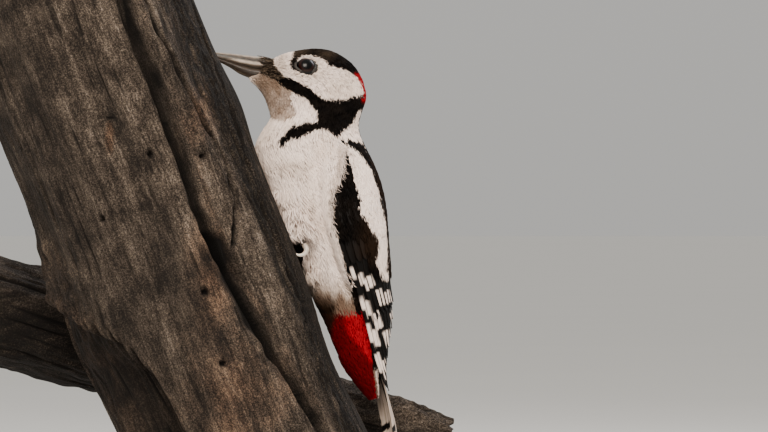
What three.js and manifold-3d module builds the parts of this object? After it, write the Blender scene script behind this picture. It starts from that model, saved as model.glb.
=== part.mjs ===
// Great spotted woodpecker, life size, clinging to a cut length of leaning trunk on a plain display stand.
// Millimetres, +Z up. The bird is on the +X side of the trunk, its bill points to -X, its left side is
// towards -Y. Everything is worked out in a bird frame and the finished group is moved so that the
// centre of its footprint box stands on the origin.
import * as THREE from 'three';
import { mergeVertices } from 'three/addons/utils/BufferGeometryUtils.js';
import Module from 'manifold-3d';

const wasm = await Module();
wasm.setup();

// ---------------------------------------------------------------- driving dimensions (mm, degrees)

const GAP = 0.3; // clearance between touching nodes
const LEAN = 22.05; // lean of the trunk from upright, its top towards -X
const TURN = 17; // how far round the back of the trunk the bird sits

const TRUNK_RADIUS = 51;
const TRUNK_FOOT_X = -23.7; // where the trunk's axis crosses height 0 of the bird frame
const TRUNK_BOTTOM = -26;
const TRUNK_TOP = 200;

const ROD_LENGTH = 18;
const ROD_RADIUS = 4;
const ROD_SPAN = [-36, 8]; // rods' places in X, under the trunk's sawn end
const BASE_THICKNESS = 10;
const BASE_X = [-136, 44];
const BASE_HALF_WIDTH = 62;
const BASE_CORNER = 12;

const BILL_COLOUR = 0x6e6459;

const EYE_RADIUS = 4.3;
const EYE_AT = [2.9, 164.7]; // X and Z of the eye's centre on the side of the head
const EYE_SUNK = 2.9; // depth of the eyeball's centre under the face

// Stations of head, neck and body, from the bill's root to the tip of the undertail coverts. Each has a
// point on the dorsal outline, one on the ventral outline, and the half width across the body.
// Along the folded wing a station adds the wing's own dorsal reach, side reach and leading edge angle.
const STATIONS = [
  { back: [-12.0, 168.1], front: [-23.6, 158.7], half: 3.4 },
  { back: [-7.6, 170.2], front: [-20.6, 156.4], half: 5.9 },
  { back: [-2.9, 171.5], front: [-17.6, 153.4], half: 8.9 },
  { back: [2.2, 172.4], front: [-15.6, 150.2], half: 11.2 },
  { back: [8.0, 172.7], front: [-14.4, 147.2], half: 12.5 },
  { back: [13.8, 171.7], front: [-13.7, 145.0], half: 13.1 },
  { back: [19.5, 168.8], front: [-13.3, 143.3], half: 13.3 },
  { back: [24.2, 164.8], front: [-13.1, 142.2], half: 13.3 },
  { back: [27.2, 160.0], front: [-13.2, 141.3], half: 13.2 },
  { back: [29.0, 154.6], front: [-13.6, 140.2], half: 13.2 },
  { back: [29.4, 150.0], front: [-14.4, 138.9], half: 13.4 },
  { back: [27.9, 145.4], front: [-15.9, 136.8], half: 13.9 },
  { back: [26.4, 140.4], front: [-17.6, 133.9], half: 15.0 },
  { back: [26.0, 135.8], front: [-19.3, 130.5], half: 16.8 },
  { back: [27.4, 131.4], front: [-20.0, 126.4], half: 18.6, wing: [24.2, 19.4, 80] },
  { back: [30.4, 125.0], front: [-18.6, 120.0], half: 20.2, wing: [25.2, 22.2, 88] },
  { back: [33.4, 118.0], front: [-15.6, 112.2], half: 21.4, wing: [25.4, 24.4, 96] },
  { back: [36.4, 108.0], front: [-11.6, 101.8], half: 21.9, wing: [25.0, 25.5, 105] },
  { back: [37.4, 98.0], front: [-7.2, 91.8], half: 21.6, wing: [23.8, 25.4, 110] },
  { back: [37.1, 88.0], front: [-2.6, 82.4], half: 20.6, wing: [22.2, 24.6, 110] },
  { back: [36.8, 76.0], front: [1.8, 72.0], half: 18.8, wing: [20.9, 22.8, 107] },
  { back: [36.6, 65.0], front: [5.6, 61.8], half: 16.6, wing: [19.9, 20.4, 98] },
  { back: [36.4, 54.5], front: [10.2, 52.8], half: 13.8, wing: [19.1, 17.6, 92] },
  { back: [36.0, 45.8], front: [13.7, 44.6], half: 11.4, wing: [18.0, 15.4, 86] },
  { back: [35.4, 37.4], front: [17.0, 36.4], half: 9.4, wing: [16.6, 13.8, 80] },
  { back: [34.8, 29.0], front: [21.3, 28.2], half: 7.4, wing: [14.6, 12.0, 72] },
  { back: [35.0, 21.0], front: [27.4, 20.0], half: 4.8, wing: [11.6, 9.8, 62] },
  { back: [34.8, 15.4], front: [31.8, 14.8], half: 1.9, wing: [9.2, 7.6, 36] },
];
const FIRST_WING_STATION = 14;
const LAST_STATION = STATIONS.length - 1;
const WING_BACK_EDGE = 12; // angle from the dorsal line to the inner edge of a folded wing

// Cuts that part the bird: two points [x, z] on each plane, dorsal end first.
const HEAD_NECK_CUT = [[28.5, 147.2], [-15, 141.8]];
const NECK_TORSO_CUT = [[26.5, 133.6], [-20, 128.6]];
const TORSO_TAIL_CUT = [[38, 37.4], [14, 35.4]];

// ---------------------------------------------------------------- frames

const radians = THREE.MathUtils.degToRad;
const lean = radians(LEAN);
const turn = radians(TURN);
const vec = (x, y, z) => new THREE.Vector3(x, y, z);
const outward = vec(Math.cos(lean), 0, Math.sin(lean)); // from the axis to the trunk's +X side
const birdLeft = outward.clone().multiplyScalar(Math.sin(turn)).add(vec(0, -Math.cos(turn), 0));
const axisPoint = vec(TRUNK_FOOT_X, 0, 0);

// The point of the bird's middle plane that has this X and Z.
function inPlane(x, z) {
  const reach = vec(x, 0, z).sub(axisPoint).dot(outward);
  return vec(x, reach * Math.tan(turn), z);
}

// The same point on the bird's other side.
function mirrorPoint(point) {
  const side = point.clone().sub(axisPoint).dot(birdLeft);
  return point.clone().addScaledVector(birdLeft, -2 * side);
}

const smooth = (points) => new THREE.CatmullRomCurve3(points, false, 'catmullrom', 0.5);
const backLine = smooth(STATIONS.map((s) => vec(s.back[0], s.half, s.back[1])));
const frontLine = smooth(STATIONS.map((s) => vec(s.front[0], 0, s.front[1])));
const wingLine = smooth(
  STATIONS.slice(FIRST_WING_STATION).map((s) => vec(s.wing[0], s.wing[1], s.wing[2])),
);

// The section at a station number, which may lie between two stations.
function sectionAt(station) {
  const share = THREE.MathUtils.clamp(station / LAST_STATION, 0, 1);
  const back = backLine.getPoint(share);
  const front = frontLine.getPoint(share);
  const dorsal = inPlane(back.x, back.z).sub(inPlane(front.x, front.z)).normalize();
  const reach = Math.hypot(back.x - front.x, back.z - front.z) / 2;
  const half = back.y;
  // The outline seen along Y keeps its reach although the section is turned about the trunk.
  const depth = Math.sqrt(Math.max(reach ** 2 - (half * Math.sin(turn)) ** 2, 1)) / Math.cos(turn);
  const centre = inPlane((back.x + front.x) / 2, (back.z + front.z) / 2);
  return { centre, dorsal, depth, half };
}

// A point on the body's skin: angle 0 is the dorsal line, 90 the bird's left side.
function bodyPoint(station, angle, lift = 0) {
  const { centre, dorsal, depth, half } = sectionAt(station);
  const a = radians(angle);
  return centre
    .addScaledVector(dorsal, (depth + lift) * Math.cos(a))
    .addScaledVector(birdLeft, (half + lift) * Math.sin(a));
}

function wingAt(station) {
  const span = LAST_STATION - FIRST_WING_STATION;
  return wingLine.getPoint(THREE.MathUtils.clamp((station - FIRST_WING_STATION) / span, 0, 1));
}

// A point on the outer face of the folded left wing. share 0 is the leading edge, 1 the inner edge.
function wingPoint(station, share, lift = 0) {
  const { centre, dorsal } = sectionAt(station);
  const wing = wingAt(station);
  const a = radians(THREE.MathUtils.lerp(wing.z, WING_BACK_EDGE, share));
  return centre
    .addScaledVector(dorsal, (wing.x + lift) * Math.cos(a))
    .addScaledVector(birdLeft, (wing.y + lift) * Math.sin(a));
}

// ---------------------------------------------------------------- solids

// A closed skin over rings with equally many points. A round end is closed by a fan round its middle, a
// flat ribbon's or shell's end by a strip from its outer edge to its inner edge.
function loft(rings, end = 'round') {
  const count = rings[0].length;
  const points = rings.flat();
  const faces = [];
  for (let r = 0; r + 1 < rings.length; r += 1) {
    for (let k = 0; k < count; k += 1) {
      const a = r * count + k;
      const b = r * count + ((k + 1) % count);
      faces.push(a, b, b + count, a, b + count, a + count);
    }
  }
  for (const [r, turned] of [[0, true], [rings.length - 1, false]]) {
    if (end === 'flat') {
      for (let k = 0; k + 1 < count / 2; k += 1) {
        const [a, b, c, d] = [k, k + 1, count - 2 - k, count - 1 - k].map((i) => r * count + i);
        faces.push(...(turned ? [b, a, c, c, a, d] : [a, b, c, a, c, d]));
      }
      continue;
    }
    const middle = rings[r].reduce((sum, p) => sum.add(p), vec(0, 0, 0)).divideScalar(count);
    points.push(middle);
    for (let k = 0; k < count; k += 1) {
      const a = r * count + k;
      const b = r * count + ((k + 1) % count);
      faces.push(...(turned ? [b, a, points.length - 1] : [a, b, points.length - 1]));
    }
  }
  return solidOf(points, faces);
}

// A manifold solid from points and faces, turned right side out.
function solidOf(points, faces) {
  const vertProperties = new Float32Array(points.flatMap((p) => [p.x, p.y, p.z]));
  const volume = (order) => {
    let sum = 0;
    for (let i = 0; i < order.length; i += 3) {
      sum += points[order[i]].dot(points[order[i + 1]].clone().cross(points[order[i + 2]]));
    }
    return sum;
  };
  const triVerts = new Uint32Array(volume(faces) < 0 ? faces.toReversed() : faces);
  return new wasm.Manifold(new wasm.Mesh({ numProp: 3, vertProperties, triVerts }));
}

function solidFromGeometry(geometry) {
  const bare = geometry.clone();
  bare.deleteAttribute('normal');
  bare.deleteAttribute('uv');
  const merged = mergeVertices(bare, 1e-4);
  const at = merged.attributes.position;
  const points = Array.from({ length: at.count }, (_, i) => vec(at.getX(i), at.getY(i), at.getZ(i)));
  return solidOf(points, Array.from(merged.index.array));
}

// The same solid on the bird's right side.
function mirrored(solid) {
  const { vertProperties, triVerts } = solid.getMesh();
  const points = [];
  for (let i = 0; i < vertProperties.length; i += 3) {
    points.push(mirrorPoint(vec(...vertProperties.slice(i, i + 3))));
  }
  return solidOf(points, Array.from(triVerts));
}

const fuse = (solids) => solids.reduce((sum, solid) => sum.add(solid));

// Only the largest closed body of a solid: loose scraps and sealed hollows go.
function largest(solid) {
  return solid.decompose().reduce((best, body) => (body.volume() > best.volume() ? body : best));
}

// The part of a solid above the plane through two points [x, z], on the side that up says.
function keepSide(solid, [[x1, z1], [x2, z2]], up) {
  const normal = vec(z2 - z1, 0, x1 - x2).normalize();
  if (normal.z * up < 0) normal.negate();
  const offset = normal.dot(vec(x1, 0, z1)) + GAP / 2;
  return solid.trimByPlane(normal.toArray(), offset);
}

// An oval ring round a centre in the plane of two directions.
function ring(centre, first, second, firstReach, secondReach, count) {
  return Array.from({ length: count }, (_, k) => {
    const a = (2 * Math.PI * k) / count;
    return centre
      .clone()
      .addScaledVector(first, firstReach * Math.cos(a))
      .addScaledVector(second, secondReach * Math.sin(a));
  });
}

// A tapering round rod along a smooth curve through points, with one radius for each point.
function taperedRod(points, radii, count, steps) {
  const path = smooth(points);
  const sizes = smooth(radii.map((r) => vec(r, 0, 0)));
  const frames = path.computeFrenetFrames(steps, false);
  const rings = Array.from({ length: steps + 1 }, (_, i) => {
    const radius = Math.max(sizes.getPoint(i / steps).x, 0.12);
    return ring(path.getPoint(i / steps), frames.normals[i], frames.binormals[i], radius, radius, count);
  });
  return loft(rings);
}

function ellipsoid(centre, radii, directions, rows, count) {
  const ball = new THREE.SphereGeometry(1, count, rows);
  const axes = directions.map((direction, i) => direction.clone().multiplyScalar(radii[i]));
  const place = new THREE.Matrix4().makeBasis(...axes);
  return solidFromGeometry(ball.applyMatrix4(place.setPosition(centre)));
}

// ---------------------------------------------------------------- head, neck and body

const BODY_COUNT = 24;

function bodySolid(lift) {
  const rings = [];
  for (let station = 0; station <= LAST_STATION; station += 1) {
    rings.push(
      Array.from({ length: BODY_COUNT }, (_, k) => bodyPoint(station, (360 * k) / BODY_COUNT, lift)),
    );
  }
  return loft(rings);
}

// The body station and angle whose skin point on the left side has this X and Z.
function skinPlace(x, z) {
  let best = { miss: Infinity };
  for (let station = 0; station <= 14; station += 0.1) {
    for (let angle = 10; angle <= 170; angle += 2) {
      const point = bodyPoint(station, angle);
      const miss = Math.hypot(point.x - x, point.z - z);
      if (miss < best.miss) best = { miss, station, angle, point };
    }
  }
  return best;
}

// The outward normal of the skin at a station and angle.
function skinNormal(station, angle) {
  const here = bodyPoint(station, angle);
  const round = bodyPoint(station, angle + 2).sub(here);
  const down = bodyPoint(station + 0.2, angle).sub(here);
  const normal = round.cross(down).normalize();
  return normal.dot(birdLeft) < 0 ? normal.negate() : normal;
}

const eyePlace = skinPlace(...EYE_AT);
const eyeOut = skinNormal(eyePlace.station, eyePlace.angle);
const eyeCentre = eyePlace.point.clone().addScaledVector(eyeOut, -EYE_SUNK);
const eyeLong = vec(1, 0, 0).projectOnPlane(eyeOut).normalize();
const eyeUp = eyeOut.clone().cross(eyeLong).normalize();
const eyeFrame = [eyeLong, eyeUp, eyeOut];

function eyeball(grow) {
  const size = EYE_RADIUS + grow;
  return ellipsoid(eyeCentre, [size, size, size], eyeFrame, 8, 14);
}

// The lids: a raised oval rim of soft skin round the eye, pointed a little at the front corner.
function lidRim() {
  const rimLength = 4.7;
  const rimHeight = 3.9;
  const rimThickness = 0.75;
  const count = 16;
  const sides = 5;
  const rings = Array.from({ length: count }, (_, k) => {
    const a = (2 * Math.PI * k) / count;
    const corner = 1 + 0.22 * Math.max(0, -Math.cos(a)) ** 4;
    const radial = eyeLong.clone().multiplyScalar(Math.cos(a)).addScaledVector(eyeUp, Math.sin(a));
    const centre = eyePlace.point
      .clone()
      .addScaledVector(eyeLong, rimLength * corner * Math.cos(a))
      .addScaledVector(eyeUp, rimHeight * Math.sin(a))
      .addScaledVector(eyeOut, -0.15 - 0.3 * corner);
    return ring(centre, radial, eyeOut, rimThickness, rimThickness, sides);
  });
  const points = rings.flat();
  const faces = [];
  rings.forEach((_, r) => {
    for (let k = 0; k < sides; k += 1) {
      const a = r * sides + k;
      const b = r * sides + ((k + 1) % sides);
      const c = ((r + 1) % count) * sides + k;
      const d = ((r + 1) % count) * sides + ((k + 1) % sides);
      faces.push(a, b, d, a, d, c);
    }
  });
  return solidOf(points, faces);
}

// ---------------------------------------------------------------- bill

// Each row: X, height of the upper edge, height of the lower edge, half width.
const UPPER_BILL = [
  [-39.9, 170.8, 169.3, 0.5],
  [-37.5, 170.7, 167.9, 1.3],
  [-31.0, 170.2, 165.8, 2.3],
  [-21.7, 169.2, 163.4, 3.6],
  [-15.0, 168.5, 162.5, 4.5],
  [-11.0, 167.6, 160.6, 4.6],
  [-5.0, 166.4, 160.4, 3.2],
];
const LOWER_BILL = [
  [-38.6, 168.4, 167.4, 0.4],
  [-36.6, 167.3, 166.6, 1.0],
  [-31.0, 165.3, 163.6, 1.9],
  [-27.0, 164.4, 161.0, 2.7],
  [-21.7, 162.9, 159.0, 3.4],
  [-15.0, 162.0, 158.2, 4.1],
  [-11.0, 160.1, 157.8, 4.2],
  [-6.0, 159.9, 157.4, 3.0],
];

// A mandible with a ridge along its outer edge: ridge 1 for the upper, -1 for the lower.
function mandible(rows, ridge, grow) {
  const count = 12;
  const rings = rows.map(([x, top, low, half]) =>
    Array.from({ length: count }, (_, k) => {
      const a = (2 * Math.PI * k) / count;
      const rise = Math.sin(a) * ridge;
      const narrowing = rise > 0 ? 1 - 0.45 * rise : 1;
      const z = (top + low) / 2 + ((top - low) / 2 + grow) * Math.sin(a);
      return inPlane(x, z).addScaledVector(birdLeft, (half + grow) * Math.cos(a) * narrowing);
    }),
  );
  return loft(rings);
}

// A slit nostril low on the side of the upper mandible, near its root.
function nostril() {
  const at = inPlane(-15.6, 165.6).addScaledVector(birdLeft, 4.1);
  const axes = [vec(1, 0, -0.25).normalize(), vec(0.25, 0, 1).normalize(), birdLeft];
  return ellipsoid(at, [1.6, 0.55, 0.9], axes, 6, 10);
}

const billUpper = largest(mandible(UPPER_BILL, 1, 0).subtract(nostril()).subtract(mirrored(nostril())));
const billLower = largest(mandible(LOWER_BILL, -1, 0).subtract(mandible(UPPER_BILL, 1, GAP)));
const billRoom = mandible(UPPER_BILL, 1, GAP).add(mandible(LOWER_BILL, -1, GAP));

// ---------------------------------------------------------------- feather vanes

// A thin tapering blade. place(t, side, lift) gives a point at t from root to tip, side from -1 at its
// leading edge to 1 at its trailing edge. Both faces are split alike.
function vane(place, { thickness, steps, tilt = 0, point = 0.25 }) {
  const rings = Array.from({ length: steps + 1 }, (_, i) => {
    const t = i / steps;
    const narrowing = 0.62 + 0.38 * Math.sin(Math.PI * Math.min(t * 1.1, 1)) - 0.62 * (1 - point) * t ** 6;
    const thick = (thickness * (1 - 0.45 * t)) / 2;
    const at = (side, lift) => place(t, side * narrowing, lift - tilt * side * Math.min(1, t * 3));
    return [at(-1, thick), at(1, thick), at(1, -thick), at(-1, -thick)];
  });
  return loft(rings, 'flat');
}

// A vane that lies on the folded wing between two stations, at a share of the wing's width.
function wingVane({ root, tip, share, width, rootLift, tipLift, thickness = 0.9, steps = 4, point }) {
  const place = (t, side, lift) => {
    const station = THREE.MathUtils.lerp(root, tip, t);
    const wing = wingAt(station);
    const arc = radians(wing.z - WING_BACK_EDGE) * wing.y;
    const base = THREE.MathUtils.lerp(rootLift, tipLift, t);
    return wingPoint(station, share + (side * width) / 2 / Math.max(arc, 4), base + lift);
  };
  return vane(place, { thickness, steps, tilt: 0.4, point });
}

// The wing's shoulder and forearm: a shell that lies on the body and carries every vane.
function wingShell() {
  const first = 14.6;
  const last = 20.4;
  const stationSteps = 7;
  const acrossSteps = 6;
  const at = (i, k, face) => {
    const station = THREE.MathUtils.lerp(first, last, i / stationSteps);
    const innerShare = THREE.MathUtils.lerp(0.5, 0.9, i / stationSteps);
    const leadingShare = 0.2 * Math.max(0, 1 - i);
    const share = THREE.MathUtils.lerp(leadingShare, innerShare, k / acrossSteps);
    if (face === 'outer') return wingPoint(station, share, -0.6);
    const wing = wingAt(station);
    return bodyPoint(station, THREE.MathUtils.lerp(wing.z, WING_BACK_EDGE, share), 0.6);
  };
  const rings = Array.from({ length: stationSteps + 1 }, (_, i) => [
    ...Array.from({ length: acrossSteps + 1 }, (_unused, k) => at(i, k, 'outer')),
    ...Array.from({ length: acrossSteps + 1 }, (_unused, k) => at(i, acrossSteps - k, 'inner')),
  ]);
  return loft(rings, 'flat');
}

const PRIMARIES = 6;
const SECONDARIES = 5;
const GREATER_COVERTS = 5;
const SCAPULARS = 4;

function wingSolid() {
  const vanes = [wingShell()];
  for (let i = 0; i < PRIMARIES; i += 1) {
    vanes.push(
      wingVane({
        root: 19,
        tip: 26.9 - 0.84 * i,
        share: 0.1 + 0.145 * i,
        width: 7.2,
        rootLift: -1.3,
        tipLift: -1.0 + 0.12 * i,
      }),
    );
  }
  for (let i = 0; i < SECONDARIES; i += 1) {
    vanes.push(
      wingVane({
        root: 18.4,
        tip: 22.1 - 0.2 * i,
        share: 0.32 + 0.155 * i,
        width: 7.4,
        rootLift: -0.9,
        tipLift: -0.2 + 0.08 * i,
        steps: 3,
        point: 0.45,
      }),
    );
  }
  for (let i = 0; i < GREATER_COVERTS; i += 1) {
    vanes.push(
      wingVane({
        root: 17.4,
        tip: 19.9 - 0.16 * i,
        share: 0.07 + 0.13 * i,
        width: 6.4,
        rootLift: -0.9,
        tipLift: 0.3,
        steps: 3,
        point: 0.5,
      }),
    );
  }
  for (let i = 0; i < SCAPULARS; i += 1) {
    vanes.push(
      wingVane({
        root: 15.3 + 0.4 * i,
        tip: 18.4 + 0.85 * i,
        share: 0.46 + 0.11 * i,
        width: 8.2 - 0.5 * i,
        rootLift: 0,
        tipLift: 0.6,
        steps: 3,
        point: 0.4,
      }),
    );
  }
  return largest(fuse(vanes));
}

// ---------------------------------------------------------------- tail

// The tail's middle line in the bird's middle plane, from root to tip, bending in to the trunk.
const TAIL_POINTS = [
  [33.2, 37.0],
  [36.2, 25.0],
  [40.0, 13.0],
  [43.0, 2.0],
  [43.6, -7.0],
  [41.8, -14.0],
  [38.6, -19.5],
];
const TAIL_LINE = smooth(TAIL_POINTS.map(([x, z]) => inPlane(x, z)));
const TAIL_PAIRS = 5;
const TAIL_HALF_WIDTH = 12.5;

function tailVane(pair, side) {
  const offset = (pair + 0.35) / TAIL_PAIRS;
  const reach = 1 - 0.045 * pair - 0.018 * pair ** 2;
  const width = 5.4 - 0.3 * pair;
  const place = (t, across, lift) => {
    const share = 0.02 + t * (reach - 0.02);
    const spread = THREE.MathUtils.lerp(0.22, 1, Math.sin((Math.PI / 2) * Math.min(share * 1.15, 1)));
    const lateral = side * (offset * (TAIL_HALF_WIDTH - 1) * spread + (across * width) / 2);
    const tangent = TAIL_LINE.getTangent(share);
    const dorsal = birdLeft.clone().cross(tangent).normalize();
    if (dorsal.x < 0) dorsal.negate();
    const arch = -0.028 * lateral ** 2 * Math.min(1, share * 2);
    return TAIL_LINE.getPoint(share)
      .addScaledVector(birdLeft, lateral)
      .addScaledVector(dorsal, arch - 0.3 * pair * share + lift);
  };
  return vane(place, { thickness: 1.1, steps: 4, tilt: 0.2, point: 0.12 });
}

function tailSolid(coverts) {
  const vanes = [coverts];
  for (let pair = 0; pair < TAIL_PAIRS; pair += 1) {
    vanes.push(tailVane(pair, 1), tailVane(pair, -1));
  }
  const cut = keepSide(fuse(vanes), TORSO_TAIL_CUT, -1);
  return largest(cut);
}

// ---------------------------------------------------------------- trunk

const FISSURE_DEPTH = 11;
const FISSURE_HALF_WIDTH = 3.4; // in degrees round the trunk, as all of these widths
const CAVITY = { offset: 5.5, height: 72, depth: 5, halfWidth: 4, halfHeight: 9 };
const BURL = { angle: -168, height: 42, stand: 10, halfWidth: 24, halfHeight: 36 };
const HOLLOW_DEPTH = 4.5;
const HOLLOW_TOP = 42;

// Angle of the trunk's long fissure, measured round the trunk from its +X side.
const fissureAngle = (z) => -67 + 20 * THREE.MathUtils.clamp(1 - z / 90, 0, 1.3);

// Angle of the ridge that stands beside the broken hollow, low on the side turned from the bird.
const ridgeAngle = (z) => -114.4 - 0.33 * THREE.MathUtils.clamp(z, -10, 36);

const halfTurn = (angle) => THREE.MathUtils.euclideanModulo(angle + 180, 360) - 180;

// The trunk's radius at an angle and height: worn lobes, a fissure with a cavity broken out of its lip, a
// burl where the bough joins, a hollow beside a ridge, and calm wood where the bird clings.
function trunkRadius(angle, z) {
  const { smoothstep } = THREE.MathUtils;
  const a = radians(angle);
  const fromBird = Math.abs(halfTurn(angle - 12));
  const rough = smoothstep(fromBird, 25, 70);
  const wide = 1.7 * Math.sin(3 * a + 0.8 + z / 60);
  const narrow = 1.1 * Math.sin(7 * a - z / 45) + 0.7 * Math.sin(11 * a + z / 30);
  const side = Math.exp(-((fromBird / 45) ** 2));
  const bulge = 2.2 * Math.exp(-(((z - 148) / 16) ** 2)) - 3.4 * Math.exp(-(((z - 34) / 24) ** 2));
  const offFissure = halfTurn(angle - fissureAngle(z));
  const fissure = FISSURE_DEPTH * Math.exp(-((offFissure / FISSURE_HALF_WIDTH) ** 4));
  const besideCavity = (offFissure - CAVITY.offset) / CAVITY.halfWidth;
  const aboveCavity = (z - CAVITY.height) / CAVITY.halfHeight;
  const cavity = CAVITY.depth * Math.exp(-(besideCavity ** 2) - aboveCavity ** 2);
  const besideBurl = halfTurn(angle - BURL.angle) / BURL.halfWidth;
  const aboveBurl = (z - BURL.height) / BURL.halfHeight;
  const burl = BURL.stand * Math.exp(-(besideBurl ** 2) - aboveBurl ** 2);
  const pastRidge = -halfTurn(angle - ridgeAngle(z));
  const hollowAcross = smoothstep(pastRidge, 0, 3.5) * (1 - smoothstep(pastRidge, 10, 34));
  const hollow = HOLLOW_DEPTH * smoothstep(HOLLOW_TOP - z, 0, 14) * hollowAcross;
  return TRUNK_RADIUS + rough * (wide + narrow) + side * bulge - fissure - cavity + burl - hollow;
}

function trunkPoint(angle, z, lift = 0) {
  const radius = trunkRadius(angle, z) + lift;
  const a = radians(angle);
  const axisX = TRUNK_FOOT_X - z * Math.tan(lean);
  return vec(axisX + (radius * Math.cos(a)) / Math.cos(lean), radius * Math.sin(a), z);
}

// Rings are closest where the trunk's face changes fast, and so are their columns, counted from the fissure.
const TRUNK_LEVELS = [
  TRUNK_BOTTOM, -14, -3, 7, 16, 25, 33, 41, 50, 60, 69, 79, 92, 108, 124, 140, 155, 170, 185, TRUNK_TOP,
];
const TRUNK_COLUMNS = [
  0, 2, 3.6, 5.2, 8, 12, 19, 28, 37, 46, 55, 64, 73, 82, 91, 100, 110, 121, 132, 143, 154, 166, 178, 190,
  202, 214, 225, 235, 244, 252, 259, 265, 271, 277, 282, 286, 290, 294, 299, 306, 314, 322, 330, 337, 343,
  348, 352, 354.8, 356.4, 358,
];

function trunkSolid(grow) {
  const rings = TRUNK_LEVELS.map((z) =>
    TRUNK_COLUMNS.map((column) => trunkPoint(fissureAngle(z) + column, z, grow)),
  );
  return loft(rings);
}

// A broken bough that crosses behind the trunk and grows out of it on both sides.
function boughSolid() {
  const ends = [
    vec(-150, 52, 58),
    vec(-95, 54, 41),
    vec(-45, 55, 25),
    vec(0, 57, 10),
    vec(40, 59, -1),
    vec(64, 61, -8),
  ];
  const radii = [23, 23, 21, 18, 15.5, 12];
  const path = smooth(ends);
  const sizes = smooth(radii.map((r) => vec(r, 0, 0)));
  const steps = 12;
  const count = 14;
  const rings = Array.from({ length: steps + 1 }, (_, i) => {
    const centre = path.getPoint(i / steps);
    const forward = path.getTangent(i / steps);
    const sideways = forward.clone().cross(vec(0, 0, 1)).normalize();
    const upward = sideways.clone().cross(forward).normalize();
    const end = i === 0 || i === steps;
    return Array.from({ length: count }, (_unused, k) => {
      const a = (2 * Math.PI * k) / count;
      const worn = 1 + 0.06 * Math.sin(3 * a + i) + 0.04 * Math.sin(5 * a - i);
      const radius = sizes.getPoint(i / steps).x * worn;
      const splinter = end ? 3.5 * Math.sin(4 * a + i) : 0;
      return centre
        .clone()
        .addScaledVector(sideways, radius * Math.cos(a))
        .addScaledVector(upward, radius * Math.sin(a))
        .addScaledVector(forward, splinter);
    });
  });
  return loft(rings);
}

// ---------------------------------------------------------------- legs, feet and claws

// A toe lies along the bark: angles round the trunk, heights, and the air under it, from the foot's pad
// to the claw's root. The outer toe is turned sideways and down.
const FOOT = { angle: 11, height: 89 };
const TOE_RADIUS = 1.4;
const TOES = [
  { name: 'inner', angles: [11.5, 12.5, 13.2], heights: [90.5, 96, 101], lifts: [0.5, 1.8, 2.6] },
  { name: 'middle', angles: [10, 9.5, 9.3], heights: [90.5, 97, 102.5], lifts: [0.5, 1.8, 2.6] },
  { name: 'outer', angles: [7, 2, 0.5], heights: [88.3, 89, 85.2], lifts: [0.6, 2.6, 3.6] },
  { name: 'hind', angles: [11.2, 12, 12.5], heights: [86.5, 82, 78], lifts: [0.5, 1.8, 2.6] },
];
const CLAW_REACH = 5.6;

function toePath(toe) {
  return toe.angles.map((angle, i) => trunkPoint(angle, toe.heights[i], TOE_RADIUS + toe.lifts[i]));
}

function footSolid(grow) {
  const pad = trunkPoint(FOOT.angle, FOOT.height, 2.3);
  const padAxes = [vec(0, 0.25, 1).normalize(), vec(0, 1, -0.25).normalize(), vec(1, 0, 0)];
  const parts = [ellipsoid(pad, [3.1 + grow, 2.1 + grow, 1.7 + grow], padAxes, 6, 8)];
  for (const toe of TOES) {
    const radii = [1.4, TOE_RADIUS, TOE_RADIUS * 0.9, TOE_RADIUS * 0.85].map((r) => r + grow);
    parts.push(taperedRod([pad, ...toePath(toe)], radii, 7, 5));
  }
  return largest(fuse(parts));
}

// The claw: a strongly hooked cone that arches on from the toe's end and digs its tip in the bark.
function clawSolid(toe, grow) {
  const path = toePath(toe);
  const bark = trunkPoint(toe.angles[2], toe.heights[2]);
  const away = path[2].clone().sub(bark).normalize();
  const forward = path[2].clone().sub(path[1]).projectOnPlane(away).normalize();
  const start = path[2].clone().addScaledVector(forward, GAP + TOE_RADIUS * 0.3);
  const at = (ahead, rise) =>
    start.clone().addScaledVector(forward, CLAW_REACH * ahead).addScaledVector(away, rise);
  return taperedRod(
    [at(-grow / CLAW_REACH, 0), at(0.42, 1.1), at(0.82, 0), at(0.92, -2.4), at(0.68, -4.8 - grow)],
    [1.15, 1.0, 0.75, 0.45, 0.15].map((r) => r + grow),
    6,
    6,
  );
}

// The leg: a thigh of short feathers set in the belly's side, and the shank from it to the foot.
function legSolid(grow) {
  const pad = trunkPoint(FOOT.angle, FOOT.height, 5.2);
  const hip = bodyPoint(20.7, 116, -5.2);
  const knee = bodyPoint(19.9, 132, -3.4);
  const deep = bodyPoint(21.4, 104, -7.5);
  return taperedRod([pad, knee, hip, deep], [1.7, 4.0, 5.4, 3.0].map((r) => r + grow), 10, 7);
}

// ---------------------------------------------------------------- stand

function standBase() {
  const [low, high] = BASE_X;
  const outline = new THREE.Shape();
  const w = BASE_HALF_WIDTH;
  const r = BASE_CORNER;
  outline.moveTo(low + r, -w);
  outline.lineTo(high - r, -w);
  outline.absarc(high - r, -w + r, r, -Math.PI / 2, 0, false);
  outline.lineTo(high, w - r);
  outline.absarc(high - r, w - r, r, 0, Math.PI / 2, false);
  outline.lineTo(low + r, w);
  outline.absarc(low + r, w - r, r, Math.PI / 2, Math.PI, false);
  outline.lineTo(low, -w + r);
  outline.absarc(low + r, -w + r, r, Math.PI, 1.5 * Math.PI, false);
  const options = { depth: BASE_THICKNESS, bevelEnabled: false, curveSegments: 6 };
  const geometry = new THREE.ExtrudeGeometry(outline, options);
  return solidFromGeometry(geometry.translate(0, 0, TRUNK_BOTTOM - ROD_LENGTH - BASE_THICKNESS));
}

function standRod(x) {
  const geometry = new THREE.CylinderGeometry(ROD_RADIUS, ROD_RADIUS, ROD_LENGTH - 2 * GAP, 24);
  geometry.rotateX(Math.PI / 2).translate(x, 0, TRUNK_BOTTOM - ROD_LENGTH / 2);
  return solidFromGeometry(geometry);
}

// ---------------------------------------------------------------- assembly

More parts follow.
